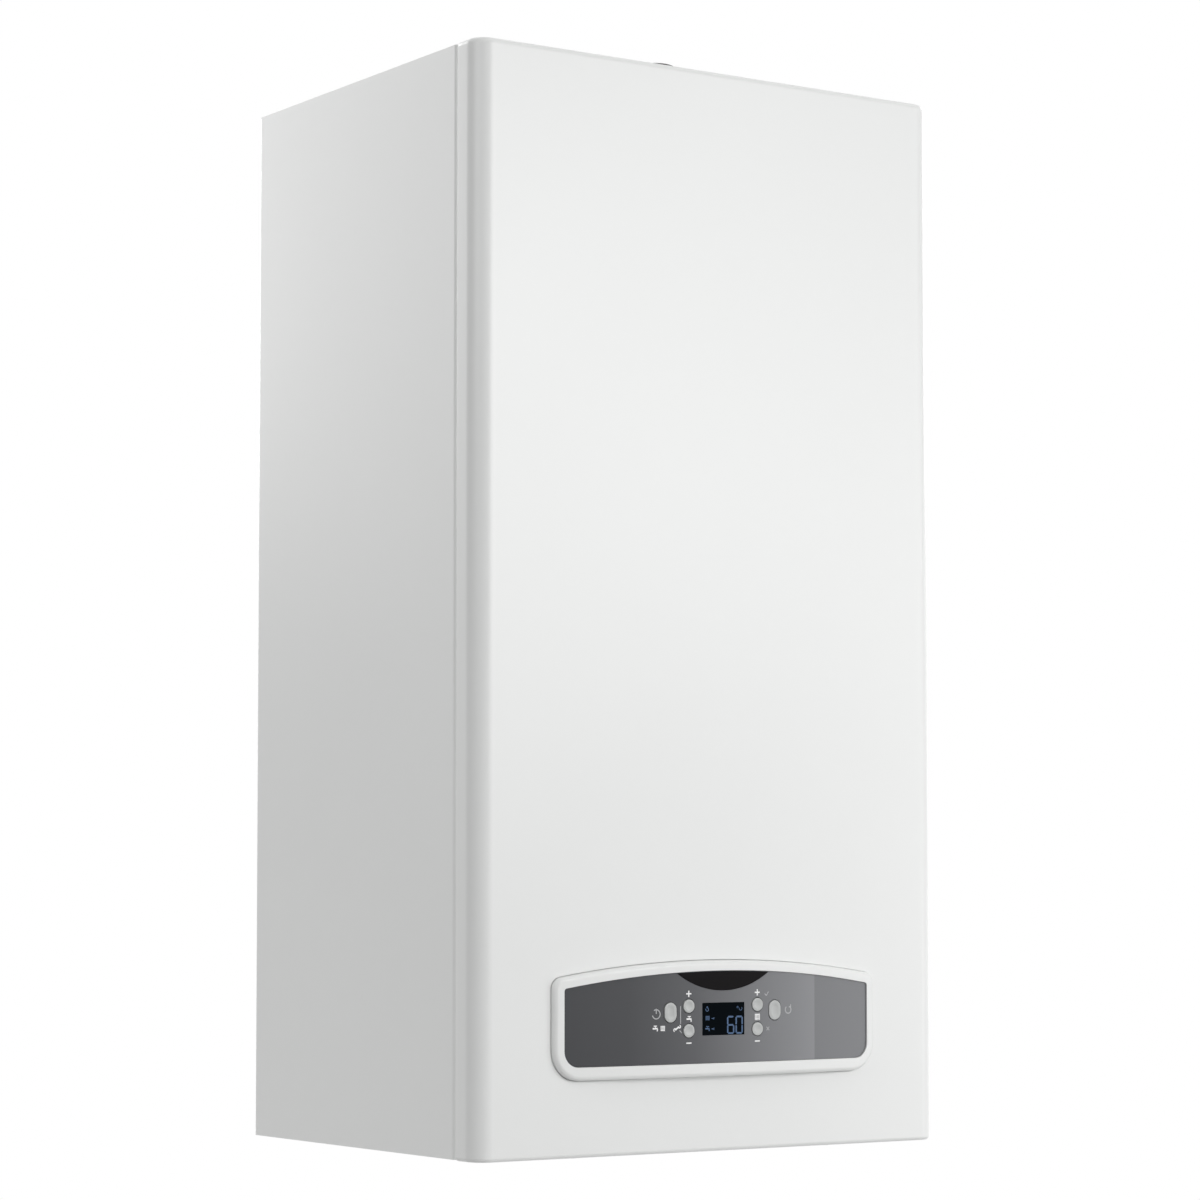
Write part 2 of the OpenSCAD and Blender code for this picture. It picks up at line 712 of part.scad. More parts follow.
module control_box() color(dark_plastic) raise() {
    x = box_half_w;
    z = [box_bottom, box_top];
    difference() {
        union() {
            difference() {
                block([-x, x], [box_y, box_back_y], z);
                block([box_wall - x, x - box_wall], [box_y + box_wall, box_back_y + 1],
                    [z[0] + box_wall, z[1] - box_wall]);
                block([-aperture_half_w, aperture_half_w], [box_y - 1, box_y + box_wall + 1], aperture_z);
            }
            both_sides() rod_x([x - overlap, x + ear_t], pivot_y, pivot_z, ear_r);
            both_sides() for (p = [display_boss[1], display_boss[2]])
                rod_y(display_boss[0], [box_y + box_wall - overlap, board_y], p, boss_r);
            both_sides() for (p = [main_boss[1], main_boss[2]])
                rod_y(main_boss[0], [box_y + box_wall - overlap, main_board_y], p, boss_r);
            both_sides() for (i = [0:3])
                block([x - 60 + 14 * i, x - 54 + 14 * i], [box_back_y - 40, box_back_y - 8],
                    [z[1] - overlap, z[1] + 1.2]);
        }
        both_sides() rod_x([x - box_wall - 1, x + ear_t + 1], pivot_y, pivot_z, pivot_r + pivot_gap);
    }
}

module control_box_cover() color(dark_plastic) raise() {
    x = box_half_w - box_wall - 0.2;
    z = [box_bottom + box_wall + 0.2, box_top - box_wall - 0.2];
    difference() {
        union() {
            block([-box_half_w, box_half_w], [box_back_y, box_back_y + 2], [box_bottom + 6, box_top]);
            difference() {
                block([-x, x], [box_back_y - 5, box_back_y + overlap], z);
                block([2 - x, x - 2], [box_back_y - 6, box_back_y], [z[0] + 2, z[1] - 2]);
            }
        }
        for (i = [-3:3])
            block([28 * i - 9, 28 * i + 9], [box_back_y - 6, box_back_y + 3], [box_top - 22, box_top - 18]);
    }
}

module control_bezel() color(steel_white) raise() intersection() {
    difference() {
        facing([bezel_y, box_y]) bezel_outline(0);
        facing([bezel_y - 1, box_y + 1]) fascia_outline(-fascia_ledge);
        intersection() {
            facing([bezel_y - 1, box_y + 1]) fascia_outline(fascia_gap);
            difference() {
                translate([0, 0, bezel_bottom])
                    block([-half_w, half_w], [bezel_y - 1, box_y], [0, bezel_top]);
                behind_bow(fascia_y + fascia_t, bow_r - fascia_recess - fascia_t);
            }
        }
    }
    behind_bow(bezel_y, bow_r);
}

// The crescent at the top of the facia, drawn in X and Z: where its two arcs cross, it ends
module badge_outline(grow) {
    r = badge_arc_r + grow;
    arch = fascia_arch_r - badge_margin + grow;
    arch_z = fascia_top - fascia_arch_r;
    apart = badge_low + badge_arc_r - arch_z;
    half = sqrt(arch * arch - pow((apart * apart + arch * arch - r * r) / (2 * apart), 2));
    sweep = asin(half / r);
    turn = asin(half / arch);
    upper = arc([0, arch_z], arch, 90 - turn, 90 + turn, 2 * arc_steps);
    polygon(concat(
        arc([0, badge_low + badge_arc_r], r, 270 - sweep, 270 + sweep, 2 * arc_steps),
        [for (i = [1:len(upper) - 2]) upper[i]]
    ));
}

module display_outline(grow) translate([0, display_z])
    square([display_w + 2 * grow, display_h + 2 * grow], center = true);

module oval_outline(grow) {
    r = oval_w / 2 + grow;
    for (s = [-1, 1]) translate([0, s * (oval_h - oval_w) / 2]) circle(r);
    square([2 * r, oval_h - oval_w], center = true);
}

module control_fascia() color(fascia_grey) raise() difference() {
    intersection() {
        facing([fascia_y - 1, fascia_y + 8]) fascia_outline(0);
        behind_bow(fascia_y, bow_r - fascia_recess);
    }
    behind_bow(fascia_y + fascia_t, bow_r - fascia_recess - fascia_t);
    facing([fascia_y - 1, fascia_y + badge_t]) badge_outline(0.1);
    facing([fascia_y - 1, fascia_y + 9]) display_outline(0.1);
    both_sides() for (z = [plus_z, minus_z])
        rod_y(button_x, [fascia_y - 1, fascia_y + 9], z, button_r + button_gap);
    both_sides() facing([fascia_y - 1, fascia_y + 9]) translate([oval_x, oval_z]) oval_outline(button_gap);
}

module badge_plate() color(rubber_black) raise()
    facing([fascia_y - 0.2, fascia_y + badge_t]) badge_outline(0);

module display_window() color([0.02, 0.03, 0.06]) raise()
    facing([fascia_y - 0.05, fascia_y + fascia_t + 0.5]) display_outline(0);

// How far the facia's face has fallen back at a distance x from its middle
function bow_at(x) = bow_r - sqrt(bow_r * bow_r - x * x);

module button_stem(x, z, face) {
    flange_y = fascia_y + fascia_t + bow_at(x) + slack;
    rod_y(x, [face + 1, flange_y + overlap], z, button_r - 0.4);
    rod_y(x, [flange_y, flange_y + flange_t], z, flange_r);
    rod_y(x, [flange_y + flange_t - overlap, switch_y - button_travel - slack], z, 2);
}

module round_button(x, z) color(button_grey) raise() {
    face = fascia_y + bow_at(x) - button_proud;
    difference() {
        union() {
            rod_y(x, [face, face + 4], z, button_r);
            button_stem(x, z, face);
        }
        translate([x, face - 11.6, z]) sphere(12, $fn = 96);
    }
}

module oval_button(x) color(button_grey) raise() {
    face = fascia_y + bow_at(oval_x) - button_proud;
    facing([face, face + 4]) translate([x, oval_z]) oval_outline(0);
    button_stem(x, oval_z, face);
}

module power_button() oval_button(-oval_x);

module reset_button() oval_button(oval_x);

module hot_water_plus_button() round_button(-button_x, plus_z);

module hot_water_minus_button() round_button(-button_x, minus_z);

module heating_plus_button() round_button(button_x, plus_z);

module heating_minus_button() round_button(button_x, minus_z);

module display_board() color(board_green) raise() {
    y = board_y;
    block([-display_boss[0] - 5, display_boss[0] + 5], [y, y + board_t],
        [display_boss[1] - 5, display_boss[2] + 4]);
    block([-19, 19], [fascia_y + fascia_t + 1, y + overlap], [display_z - 11, display_z + 11]);
    for (s = [-1, 1], z = [plus_z, minus_z])
        block([s * button_x - 3, s * button_x + 3], [switch_y, y + overlap], [z - 3, z + 3]);
    for (s = [-1, 1])
        block([s * oval_x - 3, s * oval_x + 3], [switch_y, y + overlap], [oval_z - 3, oval_z + 3]);
    block([-24, 24], [y + board_t - overlap, y + board_t + 7], [79, 85]);
}

module main_board() color(board_green) raise() {
    y = main_board_y;
    front = y + overlap;
    side = main_boss[0];
    low = main_boss[1];
    top = main_boss[2];
    block([-side - 5, side + 5], [y, y + board_t], [low - 5, top + 5]);
    block([24 - side, 69 - side], [y - 36, front], [top - 56, top - 14]);
    for (x = [-30, 0, 30]) block([x - 10, x + 10], [y - 17, front], [top - 38, top - 10]);
    for (x = [side - 62, side - 40]) rod_y(x, [y - 30, front], top - 36, 8);
    block([20 - side, -20], [y - 14, front], [low + 8, low + 22]);
    block([0, side - 20], [y - 12, front], [low + 8, low + 18]);
    for (x = [-20, 10]) block([x - 9, x + 9], [y - 4, front], [low + 52, low + 70]);
    block([side - 74, side - 28], [y - 20, front], [low + 44, low + 68]);
}

// Sealed chamber and what burns in it

module sealed_chamber() color(zinc) raise() {
    x = sealed_half_w;
    difference() {
        union() {
            block([-x, x], [rim_y, sealed_y], [floor_z, plate_bottom]);
            block([-rim_half_w, rim_half_w], [rim_y, rim_y + sheet], [rim_bottom, plate_bottom]);
            block([-frame_half_w, frame_half_w], [sealed_y - sheet, sealed_y], [floor_z, plate_bottom - 2]);
        }
        block([sheet - x, x - sheet], [rim_y + sheet, sealed_y - sheet],
            [floor_z + sheet, plate_bottom - sheet]);
        block([-door_half_w, door_half_w], [rim_y - 1, rim_y + 2], [door_bottom, door_top]);
        both_sides() rod_z(flow_x, stack_y, [floor_z - 1, floor_z + 2], heating_pipe_r + slack);
        rod_z(0, manifold_y, [floor_z - 1, floor_z + 2], gas_pipe_r + slack);
        rod_z(0, -flue_y, [plate_bottom - 2, plate_bottom + 1], collar_r - 2);
        rod_z(0, test_y, [plate_bottom - 2, plate_bottom + 1], test_hole_r);
        rod_z(-intake_x, -flue_y, [plate_bottom - 2, plate_bottom + 1], intake_r);
        for (p = cover_screws) rod_y(p[0], [rim_y - 1, rim_y + 2], p[1], screw_r + screw_gap);
        for (p = panel_screws) rod_y(p[0], [rim_y - 1, rim_y + 2], p[1], screw_r + screw_gap);
        for (p = collar_screws)
            rod_z(p[0], p[1] - flue_y, [plate_bottom - 2, plate_bottom + 1], screw_r + screw_gap);
    }
}

module chamber_gasket() color(fibre) raise() difference() {
    block([-cover_half_w, cover_half_w], [cover_y, rim_y], [cover_bottom, cover_top]);
    block([-door_half_w, door_half_w], [cover_y - 1, rim_y + 1], [door_bottom, door_top]);
    for (p = cover_screws) rod_y(p[0], [cover_y - 1, rim_y + 1], p[1], screw_r + screw_gap);
}

module chamber_cover() color(zinc) raise() {
    y = [cover_y - sheet, cover_y];
    rib = 6;
    difference() {
        union() {
            block([-cover_half_w, cover_half_w], y, [cover_bottom, cover_top]);
            block([12 - door_half_w, door_half_w - 12], [y[0] - rib, y[0] + overlap],
                [door_bottom + 12, door_top - 12]);
        }
        block([13 - door_half_w, door_half_w - 13], [y[0] - rib + sheet, y[1] + 1],
            [door_bottom + 13, door_top - 13]);
        rod_y(sight_x, [y[0] - rib - 1, y[1] + 1], sight_z, sight_r - 4);
        for (p = cover_screws) rod_y(p[0], [y[0] - 1, y[1] + 1], p[1], screw_r + screw_gap);
    }
}

module sight_glass() color([0.75, 0.85, 0.85]) raise() {
    y = cover_y - sheet - 6;
    difference() {
        union() {
            rod_y(sight_x, [y - 3, y], sight_z, sight_r);
            rod_y(sight_x, [y - 3, y + 2], sight_z, sight_r - 4.3);
        }
        rod_y(sight_x, [y - 4, y - 1.2], sight_z, sight_r - 6);
    }
}

blade_x = [for (i = [0:blades - 1]) (i - (blades - 1) / 2) * blade_pitch];

module gas_manifold() color(aluminium) raise() {
    half = blade_pitch * blades / 2 + 3;
    rod_x([-half, half], manifold_y, injector_z, 8);
    rod_z(0, manifold_y, [floor_z + sheet + 8, injector_z], 12);
    for (x = blade_x) rod_y(x, [manifold_y, stack_y - burner_depth / 2 - 1], injector_z, 3);
    both_sides() block([half - 3, fire_half_w - 6], [manifold_y - 5, manifold_y + 5],
        [injector_z - 6, injector_z + 6]);
    both_sides() block([fire_half_w - 9, fire_half_w - 6], [manifold_y - 5, stack_y - fire_depth / 2 - 2],
        [injector_z - 6, injector_z + 6]);
}

module burner() color(bare_steel) raise() {
    y = [stack_y - burner_depth / 2, stack_y + burner_depth / 2];
    z = [burner_z + 22, fire_z - 6];
    side = fire_half_w - 8;
    difference() {
        union() {
            for (x = blade_x) {
                block([x - blade_t / 2, x + blade_t / 2], y, [z[0] + 8, z[1] - 8]);
                rod_y(x, y, z[0] + 8, blade_t / 2);
                block([x - 1.5, x + 1.5], y, [z[1] - 8 - overlap, z[1]]);
            }
            for (yy = [y[0] + 6, y[1] - 12]) block([-side, side], [yy, yy + 4], [z[0] + 12, z[0] + 30]);
            both_sides() block([side - 1.5, side], [stack_y - fire_depth / 2, stack_y + fire_depth / 2],
                [burner_z, fire_z]);
        }
        for (x = blade_x) {
            rod_y(x, [y[0] - 1, y[0] + 40], injector_z, blade_t / 2 - blade_wall);
            block([x - blade_t / 2 + blade_wall, x + blade_t / 2 - blade_wall],
                [y[0] + blade_wall, y[1] - blade_wall], [z[0] + 8, z[1] - 9]);
        }
        for (i = [0:11])
            block([3 - side, side - 3], [y[0] + 8 + 10 * i, y[0] + 11 + 10 * i], [z[1] - 5, z[1] + 1]);
    }
}

module ignition_electrodes() color(fibre) raise() {
    wall_y = stack_y - fire_depth / 2;
    for (x = [-22, 22, 60]) {
        rod_y(x, [wall_y - 24, wall_y + 2], fire_z + 12, 3.4);
        rod_y(x, [wall_y - 34, wall_y - 24], fire_z + 12, 1.4);
        pipe([[x, wall_y + 2, fire_z + 12], [x, wall_y + 26, fire_z + 12], [x, wall_y + 26, fire_z - 2]],
            1, 3);
    }
}

module combustion_chamber() color(bare_steel) raise() {
    x = fire_half_w;
    y = [stack_y - fire_depth / 2, stack_y + fire_depth / 2];
    difference() {
        block([-x, x], y, [fire_z, exchanger_z]);
        block([1 - x, x - 1], [y[0] + 1, y[1] - 1], [fire_z - 1, exchanger_z + 1]);
        for (xx = [-22, 22, 60]) rod_y(xx, [y[0] - 1, y[0] + 2], fire_z + 12, 3.5);
        rod_y(sight_x, [y[0] - 1, y[0] + 2], sight_z, 9);
    }
}

module insulation_panels() color(fibre) raise() {
    x = fire_half_w - 1;
    y = [stack_y - fire_depth / 2 + 1, stack_y + fire_depth / 2 - 1];
    z = [fire_z + 20, exchanger_z];
    t = 12;
    both_sides() block([x - t, x], [y[0] + t, y[1] - t], z);
    block([-x, x], [y[1] - t, y[1]], z);
    difference() {
        block([-x, x], [y[0], y[0] + t], z);
        rod_y(sight_x, [y[0] - 1, y[0] + t + 1], sight_z, 9);
    }
}

module heat_exchanger() color(copper) raise() {
    x = exchanger_half_w;
    y = [stack_y - exchanger_depth / 2, stack_y + exchanger_depth / 2];
    z = [exchanger_z, hood_z];
    mid_z = (z[0] + z[1]) / 2;
    tube_pitch = (exchanger_depth - 36) / 4;
    tubes = [for (i = [0:4]) stack_y + (i - 2) * tube_pitch];
    fin_pitch = (2 * x - 10) / (fins - 1);
    for (i = [0:fins - 1]) block([5 - x + i * fin_pitch - fin_t / 2, 5 - x + i * fin_pitch + fin_t / 2],
        [y[0] + 1, y[1] - 1], [z[0] + 4, z[1] - 2]);
    difference() {
        block([-x - 1, x + 1], [y[0], y[1]], z);
        block([-x, x], [y[0] + 1, y[1] - 1], [z[0] - 1, z[1] + 1]);
    }
    both_sides() block([x + 1, fire_half_w], [y[0] - 6, y[1] + 6], [z[0], z[0] + 1.5]);
    for (t = tubes) rod_x([-x - 8, x + 8], t, mid_z, water_tube_r);
    both_sides() for (ends = [[0, 1], [2, 3], [4, 4]]) block([x + 6, x + header_l],
        [tubes[ends[0]] - 11, tubes[ends[1]] + 11], [mid_z - 12, mid_z + 12]);
}

module flue_hood() color(aluminium) raise() {
    x = exchanger_half_w + 1;
    y = [stack_y - exchanger_depth / 2, stack_y + exchanger_depth / 2];
    z = [hood_z, hood_z + hood_h];
    duct = [fan_x - inlet_r - 12, fan_x + inlet_r + 12];
    duct_y = [fan_back, y[1]];
    difference() {
        union() {
            sideways([-x, x]) polygon([
                [y[0], z[0]], [y[1], z[0]], [y[1], z[1]], [fan_back, z[1]], [y[0], z[0] + 12]
            ]);
            block(duct, duct_y, [z[1] - overlap, fan_z + inlet_r + 12]);
        }
        sideways([1 - x, x - 1]) polygon([
            [y[0] + 1, z[0] - 1], [y[1] - 1, z[0] - 1], [y[1] - 1, z[1] - 1],
            [fan_back, z[1] - 1], [y[0] + 1, z[0] + 11]
        ]);
        block([duct[0] + 1, duct[1] - 1], [fan_back + 1, duct_y[1] - 1], [z[1] - 2, fan_z + inlet_r + 11]);
        rod_y(fan_x, [fan_back - 1, fan_back + 2], fan_z, inlet_r - 2);
    }
}

// Fan

function scroll_r(a) = scroll_min + (scroll_max - scroll_min) * max(0, a) / 270;

// The scroll widens clockwise from its tongue, over the top and round to the upright outlet on its left
module scroll_plan(shrink) {
    translate([fan_x, fan_z]) polygon(
        [for (i = [-3:36]) let (t = 7.5 * i, a = 90 - t) (scroll_r(t) - shrink) * [cos(a), sin(a)]]
    );
    translate([shrink - flue_r, fan_z]) square([2 * (flue_r - shrink), outlet_top - spigot_h - fan_z]);
}

module fan_housing() color(aluminium) raise() {
    z0 = outlet_top - spigot_h;
    difference() {
        union() {
            facing([fan_front, fan_back]) scroll_plan(0);
            rod_z(0, -flue_y, [z0 - 4, outlet_top], flue_r + flue_wall);
            block([-flue_r - flue_wall, flue_r + flue_wall],
                [-flue_y - flue_r - flue_wall, -flue_y + flue_r + flue_wall], [z0 - 4, z0 - 1]);
        }
        facing([fan_front + scroll_t, fan_back - scroll_t]) intersection() {
            scroll_plan(scroll_t);
            translate([-far, -far]) square([2 * far, far + z0 - 6]);
        }
        rod_z(0, -flue_y, [z0 - 3, outlet_top + 1], flue_r);
        block([scroll_t - flue_r, flue_r - scroll_t], [fan_front + scroll_t, fan_back - scroll_t],
            [z0 - 20, z0 - 2]);
        rod_y(fan_x, [fan_back - scroll_t - 1, fan_back + 1], fan_z, inlet_r - 4);
        rod_y(fan_x, [fan_front - 1, fan_front + scroll_t + 1], fan_z, shaft_r + 4);
    }
}

module fan_impeller() color(aluminium) raise() {
    y = [-flue_y - impeller_w / 2, -flue_y + impeller_w / 2];
    difference() {
        union() {
            rod_y(fan_x, [y[0], y[0] + 1], fan_z, impeller_r);
            rod_y(fan_x, [y[0], y[0] + 16], fan_z, 8);
            difference() {
                rod_y(fan_x, [y[1] - 1.2, y[1]], fan_z, impeller_r);
                rod_y(fan_x, [y[1] - 2, y[1] + 1], fan_z, impeller_r - 12);
            }
            for (i = [0:impeller_blades - 1])
                translate([fan_x, 0, fan_z]) rotate([0, i * 360 / impeller_blades, 0])
                    translate([impeller_r - 13, 0, 0]) rotate([0, 28, 0]) block([0, 13], y, [-0.6, 0.6]);
        }
        rod_y(fan_x, [y[0] - 1, y[1] + 1], fan_z, shaft_r + shaft_gap);
    }
}

module fan_motor() color(bare_steel) raise() {
    back = fan_front;
    difference() {
        union() {
            block([fan_x - 34, fan_x + 34], [motor_y + 14, motor_y + 34], [fan_z - 30, fan_z + 30]);
            rod_y(fan_x, [motor_y, motor_y + 46], fan_z, 17);
            block([fan_x - 24, fan_x + 24], [motor_y + 8, motor_y + 40], [fan_z - 44, fan_z - 29.9]);
            for (s = [-1, 1])
                block([fan_x + s * 28 - 4, fan_x + s * 28 + 4], [motor_y + 33.9, back],
                    [fan_z - 26, fan_z + 26]);
        }
        for (s = [-1, 1]) rod_y(fan_x + s * 24, [motor_y, back + 1], fan_z, 4);
    }
    rod_y(fan_x, [motor_y + 45, -flue_y + impeller_w / 2 - 16], fan_z, shaft_r);
}

module air_pressure_switch() color([0.85, 0.85, 0.82]) raise() {
    difference() {
        union() {
            rod_y(switch_p[0], [switch_p[1] - 12, switch_p[1] + 14], switch_p[2], 30);
            rod_y(switch_p[0], [switch_p[1] - 3, switch_p[1] + 3], switch_p[2], 34);
        }
        rod_y(switch_p[0], [switch_p[1] - 13, switch_p[1] - 8], switch_p[2], 20);
    }
    for (dx = [-8, 8]) rod_y(switch_p[0] + dx, [switch_p[1] - 24, switch_p[1] - 7.9], switch_p[2], 2.5);
    block([switch_p[0] - 20, switch_p[0] + 20], [switch_p[1] + 13.9, sealed_y - sheet],
        [switch_p[2] - 20, switch_p[2] + 20]);
}

module pressure_tubes() color(rubber_black) raise() for (i = [0, 1]) {
    x = switch_p[0] + (i == 0 ? -8 : 8);
    y = switch_p[1] - 24;
    z = switch_p[2];
    drop = i == 0 ? 60 : 30;
    pipe([[x, y, z], [x, y - 20, z], [x, y - 20, z - drop], [-flue_r - 12, y - 20, z - drop],
        [-flue_r - 12, -flue_y + 12 - 24 * i, z - drop], [-flue_r, -flue_y + 12 - 24 * i, z - drop]], 3, 6);
}

module flue_collar() color(aluminium) raise() {
    z = plate_top;
    top = z + 2 + collar_h;
    difference() {
        union() {
            rod_z(0, -flue_y, [z, z + 2], collar_flange_r);
            rod_z(0, -flue_y, [z, top], collar_r);
        }
        rod_z(0, -flue_y, [z - 1, top + 1], collar_r - 1.5);
        for (p = collar_screws) rod_z(p[0], p[1] - flue_y, [z - 1, z + 3], screw_r + screw_gap);
    }
    difference() {
        union() {
            rod_z(0, -flue_y, [outlet_top, top], flue_r + flue_wall);
            for (a = [90, 210, 330]) translate([0, -flue_y, 0]) rotate([0, 0, a])
                block([flue_r + 0.5, collar_r - 1], [-1, 1], [z, z + 6]);
        }
        rod_z(0, -flue_y, [outlet_top - 1, top + 1], flue_r);
    }
}

module test_point_cap() color(dark_plastic) raise() translate([0, test_y, plate_top])
    let (top = casing_h + test_cap_rise - plate_top) rotate_extrude() polygon(concat(
        [[0, -8], [6, -8], [8, 0], [test_cap_r, 0]],
        arc([test_cap_r - 4, top - 4], 4, 0, 90, arc_steps),
        [[0, top]]
    ));

module air_intake_cover() color(steel_white) raise() difference() {
    union() {
        rod_z(-intake_x, -flue_y, [plate_top, plate_top + 1.2], intake_r + 7);
        rod_z(-intake_x, -flue_y, [plate_top + 1.1, plate_top + 3], intake_r - 2);
    }
    rod_z(-intake_x, -flue_y, [plate_top - 1, plate_top + 2], intake_r - 3);
}

// Water side

// Half of the vessel's section: two dished shells crimped together at the middle
function vessel_section(shrink) = concat(
    [[0, shrink], [60, shrink]],
    arc([vessel_r - 30, 24], 24 - shrink, -70, 0, arc_steps),
    arc([vessel_r - 30, vessel_t - 24], 24 - shrink, 0, 70, arc_steps),
    [[60, vessel_t - shrink], [0, vessel_t - shrink]]
);

module expansion_vessel() color([0.62, 0.12, 0.12]) raise() {
    mid = vessel_t / 2;
    difference() {
        union() {
            translate([0, frame_y, vessel_z]) rotate([90, 0, 0]) rotate_extrude($fn = 96) {
                polygon(vessel_section(0));
                translate([60, mid - 6]) square([vessel_r - 60, 12]);
            }
            rod_z(0, frame_y - mid, [vessel_z - vessel_r - 12, vessel_z - vessel_r + 8], 8);
        }
        translate([0, frame_y, vessel_z]) rotate([90, 0, 0])
            rotate_extrude($fn = 96) polygon(vessel_section(vessel_wall));
        rod_z(0, frame_y - mid, [vessel_z - vessel_r - 13, vessel_z - vessel_r + 14], 4);
    }
}

pump_c = (pump_y[0] + pump_y[1]) / 2;
rotor_r = 22;
vent_x = return_x - 27;

module pump_body() color([0.30, 0.31, 0.33]) raise() {
    difference() {
        union() {
            rod_y(return_x, pump_y, pump_z, volute_r);
            rod_y(return_x, [pump_front, pump_y[0] + overlap], pump_z, pump_r);
            rod_y(return_x, [pump_front - 6, pump_front + overlap], pump_z, pump_r - 8);
            block([return_x - 20, return_x + 20], [pump_front + 6, pump_front + 46],
                [pump_z + 30, pump_z + pump_r + 14]);
            rod_z(return_x, -conn_y, [hex_z[1], pump_z], 15);
            rod_z(return_x, pump_c, [pump_z, pump_z + volute_r + 14], 15);
            rod_x([heating_port[0] + 13, return_x], -conn_y, heating_port[1], 10);
            rod_z(vent_x, pump_c, [pump_z, pump_z + volute_r + 34], 10);
            rod_z(vent_x, pump_c, [pump_z + volute_r + 33.9, pump_z + volute_r + 38], 4);
            for (i = [0:5]) translate([return_x, 0, pump_z]) rotate([0, 60 * i + 30, 0])
                block([pump_r - 3, pump_r + 3], [pump_y[0] - 8, pump_y[0] + 4], [-5, 5]);
        }
        rod_y(return_x, [pump_front + 12, pump_y[0] - 4], pump_z, rotor_r + slack);
        rod_y(return_x, [pump_y[0] - 5, pump_y[1] - 8], pump_z, volute_r - 8);
    }
    rod_y(return_x, [pump_front + 11, pump_front + 24], pump_z, shaft_r);
}

module pump_rotor() color(bare_steel) raise() {
    difference() {
        union() {
            rod_y(return_x, [pump_front + 12 + slack, pump_y[0] - 12], pump_z, rotor_r);
            rod_y(return_x, [pump_y[0] - 13, pump_y[0] + 8], pump_z, 6);
            rod_y(return_x, [pump_y[0] + 8, pump_y[0] + 10], pump_z, volute_r - 10);
            for (i = [0:6])
                translate([return_x, 0, pump_z]) rotate([0, i * 360 / 7, 0]) translate([8, 0, 0])
                    rotate([0, 25, 0]) block([0, 19], [pump_y[0] + 9.9, pump_y[0] + 20], [-1, 1]);
        }
        rod_y(return_x, [pump_front + 10, pump_front + 24 + slack], pump_z, shaft_r + shaft_gap);
    }
}

module diverter_valve() color(brass) raise() {
    x = flow_x;
    y = -conn_y;
    difference() {
        union() {
            block([x - diverter_half, x + diverter_half], [y - diverter_half, y + diverter_half], diverter_z);
            rod_z(x, y, [diverter_z[1] - overlap, diverter_top], 13);
            rod_z(x, y, [hex_z[1], diverter_z[0] + overlap], 15);
            rod_y(x, [y - diverter_half - 10, y - diverter_half + overlap], heating_port[1], 13);
        }
        rod_z(x, y, [diverter_z[0] + 6, diverter_z[1] - 6], diverter_bore_r);
        rod_z(x, y, [diverter_z[1] - 7, diverter_top + 1], spindle_r + shaft_gap);
    }
}

module diverter_spindle() color(bare_steel) raise() {
    low = diverter_z[0] + 6 + slack;
    rod_z(flow_x, -conn_y, [low + 14, diverter_top + 10], spindle_r);
    rod_z(flow_x, -conn_y, [low, low + 4], diverter_bore_r - 1);
    rod_z(flow_x, -conn_y, [low + 3.9, low + 14.1], 6);
}

module diverter_actuator() color(rubber_black) raise() {
    x = flow_x;
    y = -conn_y;
    z = diverter_top;
    difference() {
        union() {
            block([x - 20, x + 20], [y - 22, y + 22], [z, z + 52]);
            rod_z(x, y, [z + 51.9, z + 58], 12);
        }
        rod_z(x, y, [z - 1, z + 10 + diverter_stroke + 3], spindle_r + 2);
    }
}

module plate_exchanger() color([0.70, 0.70, 0.70]) raise() {
    pitch = (plate_y[1] - plate_y[0]) / plates;
    for (i = [0:plates - 1]) {
        inset = i % 2 == 0 ? 0 : 1.5;
        y = plate_y[0] + pitch * i;
        facing([y, y + pitch + (i < plates - 1 ? overlap : 0)])
            rounded([inset - plate_half_w, plate_half_w - inset], [plate_z[0] + inset, plate_z[1] - inset],
                plate_round - inset);
    }
}

module gas_valve() color(aluminium) raise() {
    y = gas_valve_y;
    z = gas_valve_z;
    difference() {
        union() {
            block([-34, 34], y, [z[0] + 10, z[1] - 10]);
            rod_z(0, gas_rise_y, z, 15);
            rod_y(-16, [y[0] - 12, y[0] + 1], (z[0] + z[1]) / 2, 15);
            rod_y(18, [y[0] - 8, y[0] + 1], (z[0] + z[1]) / 2, 13);
            block([33.9, 60], [y[0] + 12, y[1] - 12], [z[0] + 14, z[1] - 22]);
        }
        rod_z(0, gas_rise_y, [z[0] - 1, z[0] + 8], gas_pipe_r - 2);
        rod_y(-16, [y[0] - 13, y[0] - 9], (z[0] + z[1]) / 2, 11);
    }
}

// A threaded tail, held in the floor plate between a lock nut and its own nut: the thread's end is open
module tail(x, thread_r, nut_r) {
    difference() {
        union() {
            rod_z(x, -conn_y, [conn_end, hex_z[0] + overlap], thread_r);
            hex_z_rod(x, -conn_y, lock_nut_z, nut_r);
            hex_z_rod(x, -conn_y, hex_z, nut_r);
        }
        rod_z(x, -conn_y, [conn_end - 1, hex_z[1] - 4], wet_bore * thread_r);
    }
}

module gas_pipe() color([0.85, 0.75, 0.35]) raise() {
    tail(0, thread_34_r, hex_34_r);
    low = gas_valve_z[0] - 38;
    high = gas_valve_z[1] + 17;
    pipe([[0, -conn_y, hex_z[1] - overlap], [0, -conn_y, low], [0, gas_rise_y, low],
        [0, gas_rise_y, gas_valve_z[0]]], gas_pipe_r, 20);
    pipe([[0, gas_rise_y, gas_valve_z[1]], [0, gas_rise_y, high], [0, manifold_y, high],
        [0, manifold_y, floor_z + sheet + 8]], gas_pipe_r, 14);
}

